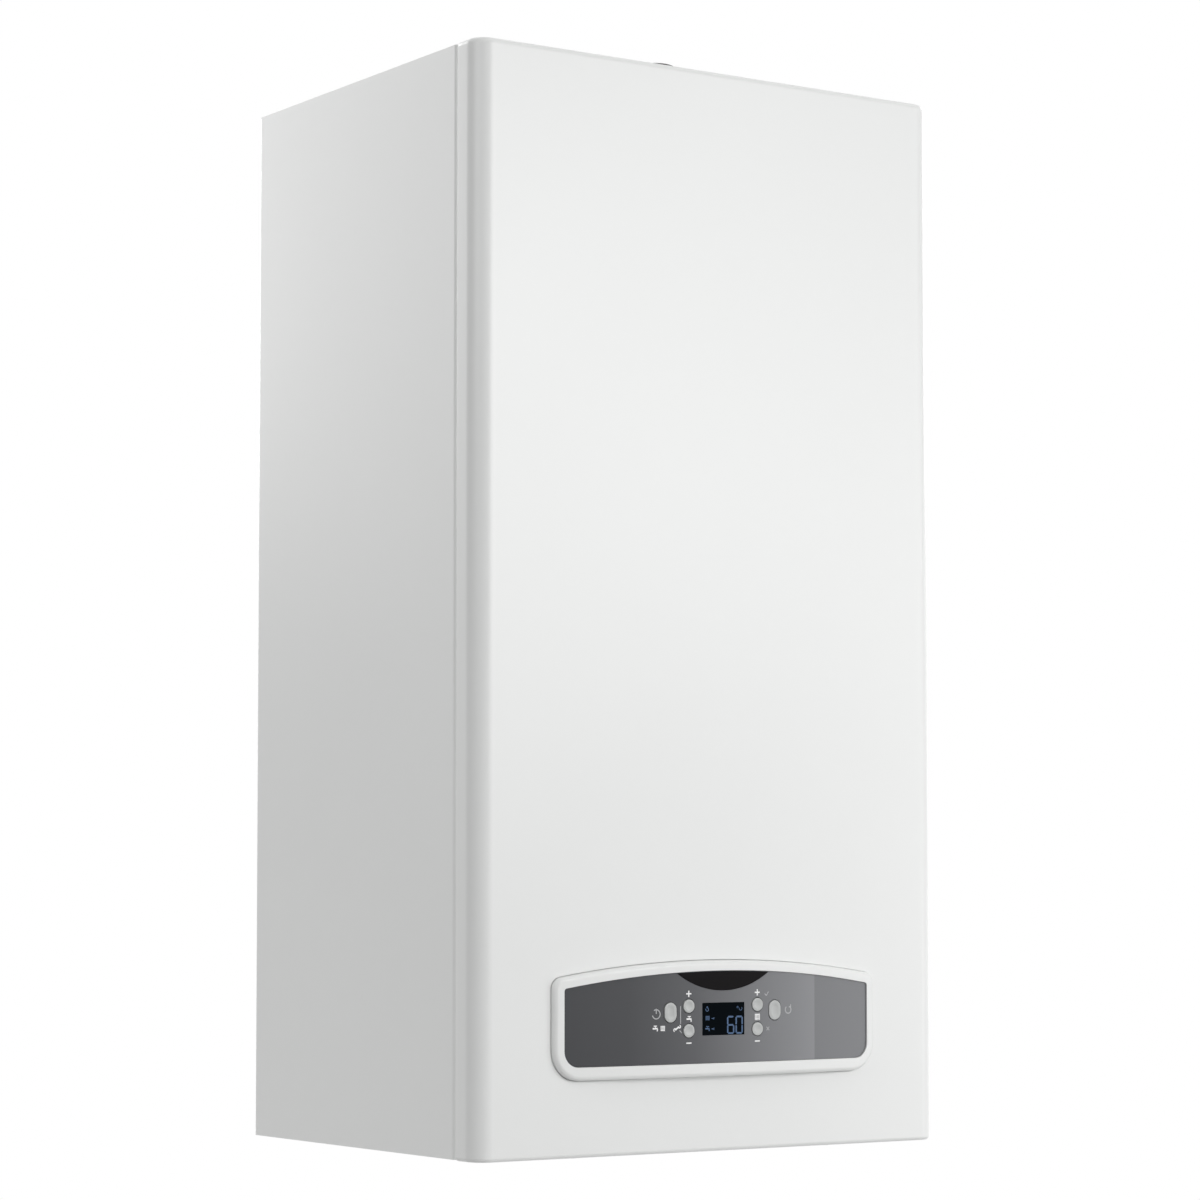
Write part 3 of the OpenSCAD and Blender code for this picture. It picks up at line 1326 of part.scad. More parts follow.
module heating_pipes() color(copper) raise() {
    tube_z = exchanger_z + exchanger_h / 2;
    header = exchanger_half_w + header_l;
    tail(flow_x, thread_34_r, hex_34_r);
    tail(return_x, thread_34_r, hex_34_r);
    rod_y(return_x, [safety_y + 20, -conn_y - 14], link_z, 8);
    pipe([[-header, stack_y, tube_z], [flow_x, stack_y, tube_z], [flow_x, stack_y, heating_port[1]],
        [flow_x, -conn_y - diverter_half - 10, heating_port[1]]], heating_pipe_r, 12);
    pump_top = pump_z + volute_r + 14;
    pipe([[header, stack_y, tube_z], [return_x, stack_y, tube_z], [return_x, stack_y, pump_top + 30],
        [return_x, pump_c, pump_top + 30], [return_x, pump_c, pump_top]], heating_pipe_r, 12);
    pipe([[flow_x + diverter_half, -conn_y, heating_port[1]], [-heating_port[0], -conn_y, heating_port[1]],
        [-heating_port[0], plate_y[0], heating_port[1]]], water_pipe_r, 11);
    pipe([[heating_port[0] + 13, -conn_y, heating_port[1]], [heating_port[0], -conn_y, heating_port[1]],
        [heating_port[0], plate_y[0], heating_port[1]]], water_pipe_r, 11);
    pipe([[0, vessel_y, vessel_z - vessel_r - 12], [0, vessel_y, vessel_port[1] + 35],
        [vessel_port[0], vessel_y, vessel_port[1] + 35], [vessel_port[0], vessel_y, vessel_port[1]],
        [vessel_port[0], pump_y[1], vessel_port[1]]], vessel_pipe_r, 12);
}

module water_pipes() color(copper) raise() {
    tail(hot_x, thread_12_r, hex_12_r);
    tail(cold_x, thread_12_r, hex_12_r);
    pipe([[hot_x, -conn_y, hex_z[1] - overlap], [hot_x, -conn_y, tap_port_z],
        [hot_x, plate_y[0], tap_port_z]], water_pipe_r, 14);
    pipe([[cold_x, -conn_y, 92], [cold_x, -conn_y, tap_port_z], [cold_x, plate_y[0], tap_port_z]],
        water_pipe_r, 14);
}

module flow_sensor() color(rubber_black) raise() {
    rod_z(cold_x, -conn_y, [hex_z[1], 92], 11.5);
    rod_z(cold_x, -conn_y, [58, 72], 15);
    block([cold_x - 8, cold_x + 8], [-conn_y - 26, -conn_y - 10], [59, 71]);
}

module safety_valve() color(brass) raise() difference() {
    union() {
        rod_y(return_x, [safety_y - 14, safety_y + 20], link_z, safety_r);
        rod_z(return_x, safety_y, [conn_end, link_z], relief_r);
        hex_z_rod(return_x, safety_y, lock_nut_z, relief_nut_r);
    }
    rod_z(return_x, safety_y, [conn_end - 1, link_z - 12], relief_r - 1.5);
    rod_y(return_x, [safety_y - 15, safety_y - 4], link_z, 2.5 + shaft_gap);
}

// A knob with finger grips round it, its axis along Z
module knob(r, h, grips) difference() {
    cylinder(h = h, r = r);
    for (i = [0:grips - 1])
        rotate([0, 0, i * 360 / grips]) translate([r + 1.2, 0, -1]) cylinder(h = h + 2, r = 2.2);
}

module safety_valve_knob() color([0.75, 0.10, 0.10]) raise() {
    face = safety_y - 14 - slack;
    translate([return_x, face, link_z]) rotate([90, 0, 0]) knob(13, 16, 8);
    rod_y(return_x, [face - overlap, safety_y - 5], link_z, 2.5);
}

module filling_tap() color(brass) raise() difference() {
    union() {
        rod_z(tap_x, -conn_y, [floor_plate_z - 1, 50], tap_r);
        rod_x([cold_x + hex_12_flat, tap_x], -conn_y, link_z, 4.5);
        rod_x([tap_x, return_x - hex_34_flat], -conn_y, link_z, 4.5);
        rod_y(tap_x, [-conn_y, -conn_y + 12], link_z, 4.5);
    }
    rod_z(tap_x, -conn_y, [floor_plate_z - 2, link_z - 6], 3 + shaft_gap);
}

module filling_knob() color([0.10, 0.22, 0.55]) raise() {
    translate([tap_x, -conn_y, conn_end + 1]) knob(11, 15, 8);
    rod_z(tap_x, -conn_y, [conn_end + 15.9, link_z - 7], 3);
}

module pressure_gauge() color(rubber_black) raise() {
    x = gauge_x;
    y = gauge_y;
    difference() {
        union() {
            rod_z(x, y, gauge_z, gauge_r);
            rod_z(x, y, [gauge_z[0], gauge_z[0] + 3], gauge_r + 2.5);
            rod_z(x, y, [gauge_z[1] - overlap, gauge_z[1] + 12], 4);
        }
        rod_z(x, y, [gauge_z[0] - 1, gauge_z[0] + 5], gauge_r - 2);
    }
    rod_z(x, y, [gauge_z[0] + 2, gauge_z[0] + 5.1], 1.2);
}

module gauge_needle() color([0.80, 0.10, 0.10]) raise() {
    z = [gauge_z[0] + 2.2, gauge_z[0] + 3.4];
    difference() {
        union() {
            rod_z(gauge_x, gauge_y, z, 3);
            translate([gauge_x, gauge_y, z[0]]) linear_extrude(0.8) polygon([[0, -1.4], [gauge_r - 4, -0.3],
                [gauge_r - 4, 0.3], [0, 1.4], [-6, 1.1], [-6, -1.1]]);
        }
        rod_z(gauge_x, gauge_y, [z[0] - 1, z[1] + 1], 1.2 + shaft_gap);
    }
}

module cable_gland() color(dark_plastic) raise() difference() {
    union() {
        rod_z(gland_x, gland_y, [floor_plate_z - 12, floor_plate_z], gland_r);
        rod_z(gland_x, gland_y, [floor_plate_z - overlap, floor_plate_z + floor_plate_t + 8], gland_r - 2);
        rod_z(gland_x, gland_y, [floor_plate_z + floor_plate_t, floor_plate_z + floor_plate_t + 4],
            gland_r + 1);
    }
    rod_z(gland_x, gland_y, [0, floor_plate_z + 20], gland_bore);
}

wall_bracket();
rear_frame();
lower_frame();
top_plate();
side_panel_left();
side_panel_right();
front_casing();
sheet_metal_screws();
control_box();
control_box_cover();
control_bezel();
control_fascia();
badge_plate();
display_window();
power_button();
reset_button();
hot_water_plus_button();
hot_water_minus_button();
heating_plus_button();
heating_minus_button();
display_board();
main_board();
sealed_chamber();
chamber_gasket();
chamber_cover();
sight_glass();
gas_manifold();
burner();
ignition_electrodes();
combustion_chamber();
insulation_panels();
heat_exchanger();
flue_hood();
fan_housing();
fan_impeller();
fan_motor();
air_pressure_switch();
pressure_tubes();
flue_collar();
test_point_cap();
air_intake_cover();
expansion_vessel();
pump_body();
pump_rotor();
diverter_valve();
diverter_spindle();
diverter_actuator();
plate_exchanger();
gas_valve();
gas_pipe();
heating_pipes();
water_pipes();
safety_valve();
safety_valve_knob();
filling_tap();
filling_knob();
pressure_gauge();
gauge_needle();
flow_sensor();
cable_gland();
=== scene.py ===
import bmesh
import bpy
import json
import math
from mathutils import Matrix, Vector


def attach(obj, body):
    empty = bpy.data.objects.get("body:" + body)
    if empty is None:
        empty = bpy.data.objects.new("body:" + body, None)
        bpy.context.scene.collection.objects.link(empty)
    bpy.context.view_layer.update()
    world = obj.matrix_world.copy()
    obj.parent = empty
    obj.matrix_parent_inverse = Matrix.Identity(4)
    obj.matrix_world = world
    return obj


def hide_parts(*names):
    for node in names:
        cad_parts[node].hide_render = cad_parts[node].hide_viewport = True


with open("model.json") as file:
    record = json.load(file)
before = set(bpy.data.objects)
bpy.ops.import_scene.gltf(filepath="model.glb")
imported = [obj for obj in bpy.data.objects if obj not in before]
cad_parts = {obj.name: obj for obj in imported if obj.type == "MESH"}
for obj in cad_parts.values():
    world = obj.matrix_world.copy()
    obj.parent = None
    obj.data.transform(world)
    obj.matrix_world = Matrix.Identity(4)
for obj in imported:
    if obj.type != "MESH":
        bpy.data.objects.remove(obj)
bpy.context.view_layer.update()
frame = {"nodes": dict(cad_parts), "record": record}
nodes = frame["nodes"]
bodies = frame["record"]["behaviour"]["bodies"]
bodyOf = {node: body for body, members in bodies.items() for node in members}
mm = 0.001
casingBottom = -0.7  # height of the casing's lower edge in the row frame
print("frame loaded:", len(nodes), "nodes")


def addObject(name, data):
    made = bpy.data.objects.new(name, data)
    bpy.context.scene.collection.objects.link(made)
    return made


# the camera stands to the left of the object and a little below its middle; angles are degrees
cameraSetup = {
    "place": (-1.4547, -2.3350, -0.5093), "yaw": 33.87, "pitch": 3.2, "lens": 105.264, "sensor": 36.0,
    "shiftY": 0.07,
}
cameraData = bpy.data.cameras.new("studioCamera")
cameraData.lens = cameraSetup["lens"]
cameraData.sensor_width = cameraSetup["sensor"]
cameraData.shift_y = cameraSetup["shiftY"]
camera = addObject("studioCamera", cameraData)
camera.location = cameraSetup["place"]
camera.rotation_euler = (
    math.radians(90 + cameraSetup["pitch"]), 0, math.radians(-cameraSetup["yaw"]))
bpy.context.scene.camera = camera


def linear(value):
    value /= 255
    return value / 12.92 if value <= 0.04045 else ((value + 0.055) / 1.055) ** 2.4


def paint(red, green, blue):
    return (linear(red), linear(green), linear(blue), 1)


def tinted(colour, amount):
    return tuple(min(1, channel * amount) for channel in colour[:3]) + (1,)


def addNode(tree, kind, values=None, sources=None):
    # a shader node, the values of some of its inputs, and what feeds others
    node = tree.nodes.new("ShaderNode" + kind)
    for socket, value in (values or {}).items():
        node.inputs[socket].default_value = value
    for socket, source in (sources or {}).items():
        tree.links.new(source, node.inputs[socket])
    return node


white = (1, 1, 1, 1)
even = (1, 1, 1)


def grainNoise(tree, source, scale, stretch, detail=2):
    mapping = addNode(tree, "Mapping", {"Scale": stretch}, {"Vector": source})
    noise = addNode(tree, "TexNoise", {"Scale": scale, "Detail": detail},
                    {"Vector": mapping.outputs["Vector"]})
    return noise.outputs["Fac"]


def driftRamp(tree, factor, look):
    # the base colour wanders between a darker and a lighter tint
    ramp = addNode(tree, "ValToRGB", None, {"Fac": factor})
    spread = look.get("drift", 0.03)
    for stop, place, amount in zip(ramp.color_ramp.elements, (0.3, 0.7), (1 - spread, 1 + spread)):
        stop.position = place
        stop.color = tinted(look["colour"], amount)
    return ramp.outputs["Color"]


# each colouring gives the base colour, what the roughness follows, and what the relief follows
def grained(tree, place, look, grain):
    drift = grainNoise(tree, place, look.get("driftScale", 6), look.get("stretch", even))
    return driftRamp(tree, drift, look), grain, grain


def spangled(tree, place, look, grain):
    # galvanised sheet: zinc crystals of a few millimetres, each with its own shade and gloss
    cells = addNode(tree, "TexVoronoi", {"Scale": look["cellScale"]}, {"Vector": place})
    single = addNode(tree, "SeparateColor", None, {"Color": cells.outputs["Color"]})
    return driftRamp(tree, single.outputs["Red"], look), single.outputs["Green"], grain


def tracked(tree, place, look, grain):
    # solder mask with copper tracks that show through as paler lines
    turn = addNode(tree, "Mapping", {"Rotation": (math.pi / 2, 0, 0)}, {"Vector": place})
    bricks = addNode(tree, "TexBrick", {
        "Scale": look["trackScale"], "Mortar Size": look["trackWidth"], "Mortar": look["track"],
        "Color1": look["colour"], "Color2": tinted(look["colour"], 0.85)},
        {"Vector": turn.outputs["Vector"]})
    return bricks.outputs["Color"], grain, bricks.outputs["Fac"]


def paintedReflectionRamp(tree, place, look, grain):
    # painted reflection on the fascia's grey: the tone grows paler along x, as a lamp's reflection would
    # light it, then drops to an even band at the reflection's edge; millimetres and shades
    low, high = look["stops"][0][0], look["stops"][-1][0]
    parts = addNode(tree, "SeparateXYZ", None, {"Vector": place})
    along = addNode(tree, "MapRange", {"From Min": low * mm, "From Max": high * mm},
                    {"Value": parts.outputs["X"]})
    ramp = addNode(tree, "ValToRGB", None, {"Fac": along.outputs["Result"]})
    stops = ramp.color_ramp.elements
    while len(stops) < len(look["stops"]):
        stops.new(0.5)
    for stop, (x, shade) in zip(stops, look["stops"]):
        stop.position = (x - low) / (high - low)
    for stop, (x, shade) in zip(stops, look["stops"]):
        stop.color = paint(shade, shade + 1, shade + 4)
    return ramp.outputs["Color"], grain, grain


def plain(tree, place, look, grain):
    colour = addNode(tree, "RGB").outputs["Color"]
    colour.default_value = look["colour"]
    return colour, grain, grain


def makeFinish(name, look, colouring=grained):
    finish = bpy.data.materials.new(name)
    finish.use_nodes = True
    tree = finish.node_tree
    shader = tree.nodes["Principled BSDF"]
    for socket, key, usual in (
            ("Metallic", "metallic", 0), ("Specular IOR Level", "specular", 0.5),
            ("Coat Weight", "coat", 0), ("Coat Roughness", "coatRoughness", 0.1),
            ("Transmission Weight", "clear", 0),
            ("Emission Color", "colour", white), ("Emission Strength", "glow", 0)):
        shader.inputs[socket].default_value = look.get(key, usual)
    place = addNode(tree, "TexCoord").outputs["Object"]
    grain = grainNoise(tree, place, look["grainScale"], look.get("stretch", even), look.get("detail", 2))
    colour, factor, height = colouring(tree, place, look, grain)
    spread = addNode(tree, "MapRange", {"To Min": look["rough"][0], "To Max": look["rough"][1]},
                     {"Value": factor})
    bump = addNode(tree, "Bump", {"Strength": look["bump"], "Distance": look.get("relief", 0.0002)},
                   {"Height": height})
    for source, socket in ((colour, "Base Color"), (spread.outputs["Result"], "Roughness"),
                           (bump.outputs["Normal"], "Normal")):
        tree.links.new(source, shader.inputs[socket])
    return finish


# each finish: the material's name, shade, roughness from and to, grain scale, relief strength, the rest
grainLooks = {
    "whitePaint": ("powderCoatWhite", (236, 237, 236), (0.30, 0.38), 900, 0.05, {
        "relief": 0.0001, "drift": 0.006, "driftScale": 5, "coat": 0.15, "coatRoughness": 0.25}),
    "whitePlastic": ("mouldedWhite", (235, 236, 235), (0.32, 0.42), 2600, 0.06, {
        "relief": 0.00005, "drift": 0.004}),
    "buttonGrey": ("buttonGrey", (182, 184, 183), (0.34, 0.44), 3200, 0.05, {
        "relief": 0.00004, "drift": 0.01}),
    "badgeBlack": ("badgeBlack", (18, 16, 17), (0.20, 0.28), 1800, 0.02, {
        "relief": 0.00004, "drift": 0.04, "specular": 0.06}),
    "displayBlack": ("displayBlack", (2, 7, 12), (0.12, 0.18), 1500, 0.01, {
        "relief": 0.00003, "drift": 0.05, "specular": 0.03}),
    "darkPlastic": ("mouldedDark", (52, 55, 60), (0.45, 0.58), 1800, 0.18, {"drift": 0.04}),
    "blackPlastic": ("mouldedBlack", (32, 32, 34), (0.38, 0.52), 1600, 0.15, {"drift": 0.05}),
    "brightScrew": ("zincPlatedScrew", (196, 198, 202), (0.22, 0.36), 1500, 0.05, {
        "metallic": 1, "drift": 0.04}),
    "stainless": ("brushedSteel", (176, 177, 180), (0.26, 0.42), 260, 0.06, {
        "metallic": 1, "drift": 0.04, "stretch": (0.08, 1, 1.6), "driftScale": 30}),
    "aluminium": ("castAluminium", (196, 198, 200), (0.38, 0.56), 650, 0.22, {
        "metallic": 1, "drift": 0.04, "driftScale": 40}),
    "copper": ("copperTube", (206, 132, 98), (0.22, 0.40), 220, 0.03, {
        "metallic": 1, "drift": 0.12, "driftScale": 45, "detail": 5}),
    "brass": ("machinedBrass", (206, 172, 98), (0.26, 0.42), 520, 0.08, {
        "metallic": 1, "drift": 0.07, "driftScale": 60}),
    "yellowBrass": ("yellowBrass", (222, 190, 96), (0.24, 0.38), 480, 0.05, {
        "metallic": 1, "drift": 0.06, "driftScale": 55}),
    "castIron": ("paintedCasting", (66, 68, 72), (0.42, 0.60), 480, 0.35, {
        "relief": 0.0004, "drift": 0.06, "driftScale": 50}),
    "redPaint": ("vesselRed", (150, 30, 30), (0.30, 0.42), 420, 0.08, {"drift": 0.04, "coat": 0.2}),
    "redPlastic": ("knobRed", (188, 30, 30), (0.34, 0.46), 1600, 0.08, {}),
    "bluePlastic": ("knobBlue", (38, 86, 150), (0.34, 0.46), 1600, 0.08, {}),
    "ceramic": ("glazedCeramic", (236, 230, 218), (0.18, 0.30), 700, 0.04, {"coat": 0.3}),
    "fibre": ("ceramicFibre", (232, 227, 214), (0.85, 0.95), 380, 0.6, {
        "relief": 0.0008, "drift": 0.05, "detail": 8, "stretch": (0.4, 1, 1.6)}),
    "rubber": ("sealRubber", (34, 34, 35), (0.62, 0.78), 900, 0.12, {"drift": 0.05}),
    "switchPlastic": ("switchIvory", (214, 213, 204), (0.40, 0.52), 1600, 0.1, {"drift": 0.02}),
    "gaugeDial": ("gaugeDial", (240, 240, 236), (0.40, 0.50), 1200, 0.02, {"drift": 0.01}),
    "inkBlack": ("printedBlack", (20, 20, 22), (0.45, 0.55), 900, 0.02, {}),
    "inkWhite": ("printedWhite", (244, 244, 244), (0.45, 0.55), 900, 0.02, {}),
    "inkPale": ("printedGrey", (176, 177, 179), (0.45, 0.55), 900, 0.02, {}),
    "glass": ("sightGlass", (225, 235, 232), (0.02, 0.06), 300, 0.01, {"drift": 0.02, "clear": 0.85}),
}
finishes = {
    # the fascia's own dark grey with a painted reflection: paler towards the right, with a step at x = 82
    # mm where a lamp's reflected edge falls
    "fasciaGreyWithPaintedReflection": makeFinish("fasciaGreyWithPaintedReflection", {
        "stops": ((-132, 60), (-80, 66), (-25, 87), (30, 116), (81.9, 134), (82.1, 116), (132, 119)),
        "rough": (0.28, 0.34), "grainScale": 3200, "bump": 0.04, "relief": 0.00004, "specular": 0.3},
        paintedReflectionRamp),
    "zincSheet": makeFinish("galvanisedSheet", {
        "colour": paint(186, 190, 194), "metallic": 1, "rough": (0.34, 0.44), "cellScale": 210,
        "drift": 0.03, "grainScale": 700, "bump": 0.03}, spangled),
    "board": makeFinish("circuitBoard", {
        "colour": paint(26, 98, 58), "track": paint(54, 128, 84), "trackScale": 60, "trackWidth": 0.03,
        "grainScale": 900, "rough": (0.28, 0.42), "bump": 0.2, "relief": 0.0001}, tracked),
    "segmentBlue": makeFinish("litSegments", {
        "colour": paint(36, 72, 110), "glow": 0.18, "grainScale": 400, "rough": (0.3, 0.4), "bump": 0},
        plain),
}
for finishName, (title, shade, rough, grainScale, strength, more) in grainLooks.items():
    finishes[finishName] = makeFinish(title, {
        "colour": paint(*shade), "rough": rough, "grainScale": grainScale, "bump": strength, **more})

# carried-over solids that are shown as they are; dress() gives the other nodes their finish
nodeFinish = {
    "display_board": "board", "main_board": "board", "chamber_gasket": "rubber",
    "pressure_tubes": "rubber", "sight_glass": "glass", "fan_impeller": "aluminium",
    "burner": "stainless", "pump_rotor": "stainless", "diverter_spindle": "stainless",
    "ignition_electrodes": "ceramic", "insulation_panels": "fibre", "heat_exchanger": "copper",
}


def giveFinish(piece, finish):
    piece.data.materials.clear()
    piece.data.materials.append(finishes[finish])


for node, finish in nodeFinish.items():
    giveFinish(nodes[node], finish)
print("finishes made, and given to", len(nodeFinish), "nodes")

# the studio: a pale floor far below, a white surround, and soft lamps
studio = {
    "floorHeight": -1.35, "floorSize": 8, "floorColour": (0.42, 0.42, 0.42, 1), "floorRough": 0.7,
    "floorWhite": 0.85, "surround": 0.12, "overhead": 0.75,
    "lamps": {
        # place, aim, size and power
        "keyLamp": ((1.2, -3.2, 0.35), (0, -0.15, -0.2), (1.8, 1.1), 36.5),
        "leftLamp": ((-2.3, -1.0, 0.7), (-0.2, -0.15, 0), (1.2, 1.2), 8.5),
        "edgeLamp": ((1.862, -1.707, -0.45), (0.08, -0.32, -0.6), (0.9, 1.3), 10.4),
        "rightLamp": ((3.0, 0.9, 0.9), (0.2, -0.1, -0.3), (1.4, 1.4), 30),
        "backLamp": ((-0.5, 3.2, 1.0), (0, 0, -0.3), (1.8, 1.8), 86),
    },
}


def seenDirectly(tree):
    # one for camera, glossy and transmission rays, nothing for the light that falls on things
    path = addNode(tree, "LightPath")
    total = path.outputs["Is Camera Ray"]
    for name in ("Is Glossy Ray", "Is Transmission Ray"):
        adding = addNode(tree, "Math", None, {0: total, 1: path.outputs[name]})
        adding.operation = "ADD"
        adding.use_clamp = True
        total = adding.outputs[0]
    return total


def mixShader(tree, factor, first, second):
    return addNode(tree, "MixShader", None, {"Fac": factor, 1: first, 2: second}).outputs["Shader"]


world = bpy.data.worlds.new("studioWorld")
bpy.context.scene.world = world
world.use_nodes = True
worldTree = world.node_tree
# the surround grows brighter overhead
sky = addNode(worldTree, "SeparateXYZ", None, {
    "Vector": addNode(worldTree, "TexCoord").outputs["Generated"]})
skyGlow = addNode(worldTree, "MapRange", {
    "To Min": studio["surround"], "To Max": studio["surround"] + studio["overhead"]},
    {"Value": sky.outputs["Z"]})
surround = worldTree.nodes["Background"]
surround.inputs["Color"].default_value = white
worldTree.links.new(skyGlow.outputs["Result"], surround.inputs["Strength"])
whiteWall = addNode(worldTree, "Background", {"Color": white, "Strength": 1})
worldTree.links.new(
    mixShader(worldTree, seenDirectly(worldTree), surround.outputs["Background"],
              whiteWall.outputs["Background"]),
    worldTree.nodes["World Output"].inputs["Surface"])

for lampName, (place, target, size, power) in studio["lamps"].items():
    lampData = bpy.data.lights.new(lampName, "AREA")
    lampData.shape = "RECTANGLE"
    lampData.size, lampData.size_y = size
    lampData.energy = power
    lamp = addObject(lampName, lampData)
    lamp.location = place
    aim = Vector(target) - Vector(place)
    lamp.rotation_euler = aim.to_track_quat("-Z", "Y").to_euler()
bpy.context.scene.view_settings.view_transform = "Standard"

floorLook = bpy.data.materials.new("studioFloor")
floorLook.use_nodes = True
floorTree = floorLook.node_tree
floorShader = floorTree.nodes["Principled BSDF"]
floorShader.inputs["Base Color"].default_value = studio["floorColour"]
floorShader.inputs["Roughness"].default_value = studio["floorRough"]
share = addNode(floorTree, "Math", {1: studio["floorWhite"]}, {0: seenDirectly(floorTree)})
share.operation = "MULTIPLY"
floorTop = mixShader(floorTree, share.outputs["Value"], floorShader.outputs["BSDF"],
                     addNode(floorTree, "Emission").outputs["Emission"])
# from below the floor is open, so that the underside can be looked at
floorTree.links.new(
    mixShader(floorTree, addNode(floorTree, "NewGeometry").outputs["Backfacing"], floorTop,
              addNode(floorTree, "BsdfTransparent").outputs["BSDF"]),
    floorTree.nodes["Material Output"].inputs["Surface"])
bpy.ops.object.select_all(action="DESELECT")
bpy.ops.mesh.primitive_plane_add(size=studio["floorSize"], location=(0, 0, studio["floorHeight"]))
studioFloor = bpy.context.object
studioFloor.name = "studioFloor"
studioFloor.data.materials.append(floorLook)
print("studio set")


def at(x, y, z):
    # a point in millimetres, its height above the casing's lower edge
    return Vector((x * mm, y * mm, casingBottom + z * mm))


def leaveShape():
    bpy.ops.object.mode_set(mode="OBJECT")


def clearSelection():
    if bpy.context.object is not None and bpy.context.object.mode != "OBJECT":
        leaveShape()
    bpy.ops.object.select_all(action="DESELECT")


def pickPiece(piece):
    clearSelection()
    piece.select_set(True)
    bpy.context.view_layer.objects.active = piece


def rename(piece, name):
    piece.name = name
    piece.data.name = name
    return piece


def settle(piece, name, scale=(1, 1, 1)):
    # the piece's own place and size go into its mesh
    pickPiece(piece)
    piece.scale = scale
    bpy.ops.object.transform_apply(location=True, rotation=True, scale=True)
    return rename(piece, name)


def shape(piece):
    pickPiece(piece)
    bpy.ops.object.mode_set(mode="EDIT")


def pickAll():
    bpy.ops.mesh.select_all(action="SELECT")


def pick(piece, kind, test):
    # points by their place, edges by their two ends, faces by their middle and normal
    bpy.ops.mesh.select_mode(type=kind)
    bpy.ops.mesh.select_all(action="DESELECT")
    net = bmesh.from_edit_mesh(piece.data)
    if kind == "VERT":
        chosen = [point for point in net.verts if test(point.co)]
    elif kind == "EDGE":
        chosen = [edge for edge in net.edges if test(edge.verts[0].co, edge.verts[1].co)]
    else:
        net.normal_update()
        chosen = [face for face in net.faces if test(face.calc_center_median(), face.normal)]
    for part in chosen:
        part.select_set(True)
    bmesh.update_edit_mesh(piece.data)


def movePoints(piece, place):
    # every point goes where place() says
    for point in piece.data.vertices:
        point.co = place(point.co)
    piece.data.update()


def turnAbout(piece, centre, degrees, axis):
    turn = Matrix.Rotation(math.radians(degrees), 4, axis)
    place = Matrix.Translation(Vector(centre))
    movePoints(piece, lambda p: place @ turn @ place.inverted() @ p)


def pull(step):
    bpy.ops.mesh.extrude_region_move(TRANSFORM_OT_translate={"value": step})


def roundOff(width, segments, affect="EDGES", **settings):
    bpy.ops.mesh.bevel(offset_type="OFFSET", offset=width * mm, segments=segments, affect=affect,
                       **settings)


def useModifier(piece, kind, **settings):
    pickPiece(piece)
    modifier = piece.modifiers.new(kind.lower(), kind)
    for key, value in settings.items():
        setattr(modifier, key, value)
    bpy.ops.object.modifier_apply(modifier=modifier.name)


def combine(operation, piece, others):
    for other in others:
        useModifier(piece, "BOOLEAN", operation=operation, solver="EXACT", object=other)
        bpy.data.objects.remove(other, do_unlink=True)
    return piece


def thicken(piece, sheet):
    useModifier(piece, "SOLIDIFY", thickness=sheet * mm, offset=-1, use_even_offset=True)


def softEdges(piece, width, segments=2, angle=40, smooth=42):
    useModifier(piece, "BEVEL", width=width * mm, segments=segments, limit_method="ANGLE",
                angle_limit=math.radians(angle), use_clamp_overlap=True)
    smoothFaces(piece, smooth)


def smoothFaces(piece, angle=38):
    pickPiece(piece)
    bpy.ops.object.shade_smooth_by_angle(angle=math.radians(angle))
    useModifier(piece, "WEIGHTED_NORMAL", keep_sharp=True, weight=80)


def outwards(piece):
    shape(piece)
    pickAll()
    bpy.ops.mesh.remove_doubles(threshold=0.000002)
    bpy.ops.mesh.normals_make_consistent(inside=False)
    leaveShape()


def addCube(name, low, high):
    # from one corner to the other, in millimetres
    clearSelection()
    middle = [(a + b) / 2 * mm for a, b in zip(low, high)]
    middle[2] += casingBottom
    bpy.ops.mesh.primitive_cube_add(size=1, location=middle)
    return settle(bpy.context.object, name, [(b - a) * mm for a, b in zip(low, high)])


def uprightPlane(name, x, z, width, height, front):
    # faces the front, and is left open for shaping
    clearSelection()
    bpy.ops.mesh.primitive_plane_add(size=1, location=at(x, front, z), rotation=(math.pi / 2, 0, 0))
    piece = settle(bpy.context.object, name, (width * mm, height * mm, 1))
    shape(piece)
    return piece


def bendEdges(piece, cuts, test, place):
    # cuts the edges that pass the test, and puts every point where place() says
    pick(piece, "EDGE", test)
    bpy.ops.mesh.subdivide(number_cuts=cuts)
    leaveShape()
    movePoints(piece, place)
    shape(piece)


def pullBack(piece, depth):
    pickAll()
    pull((0, depth * mm, 0))
    outwards(piece)
    return piece


def addPlate(name, x, z, width, height, front, back, corner=0, steps=5):
    # an upright plate with round corners, drawn from the front and pulled back
    piece = uprightPlane(name, x, z, width, height, front)
    if corner:
        pickAll()
        roundOff(corner, steps, "VERTICES")
    return pullBack(piece, back - front)


# for each axis, its direction and the turn that lays a circle across it
axes = {"y": (Vector((0, 1, 0)), Vector((-math.pi / 2, 0, 0))),
        "z": (Vector((0, 0, 1)), Vector((0, 0, 0)))}


def turnPiece(name, centre, axis, steps, sides=48, spin=0):
    # a filled circle pulled along the axis: each step is a distance and a radius in millimetres
    origin = at(*centre)
    along, turn = axes[axis]
    clearSelection()
    bpy.ops.mesh.primitive_circle_add(
        vertices=sides, radius=steps[0][1] * mm, fill_type="NGON",
        location=origin + along * steps[0][0] * mm,
        rotation=turn + along * math.radians(spin))
    piece = settle(bpy.context.object, name)
    shape(piece)
    pickAll()
    before = steps[0]
    for step in steps[1:]:
        pull(tuple(along * (step[0] - before[0]) * mm))
        if step[1] != before[1]:
            grow = step[1] / before[1]
            bpy.ops.transform.resize(
                value=(grow, grow, grow), center_override=tuple(origin + along * step[0] * mm))
        before = step
    outwards(piece)
    return piece


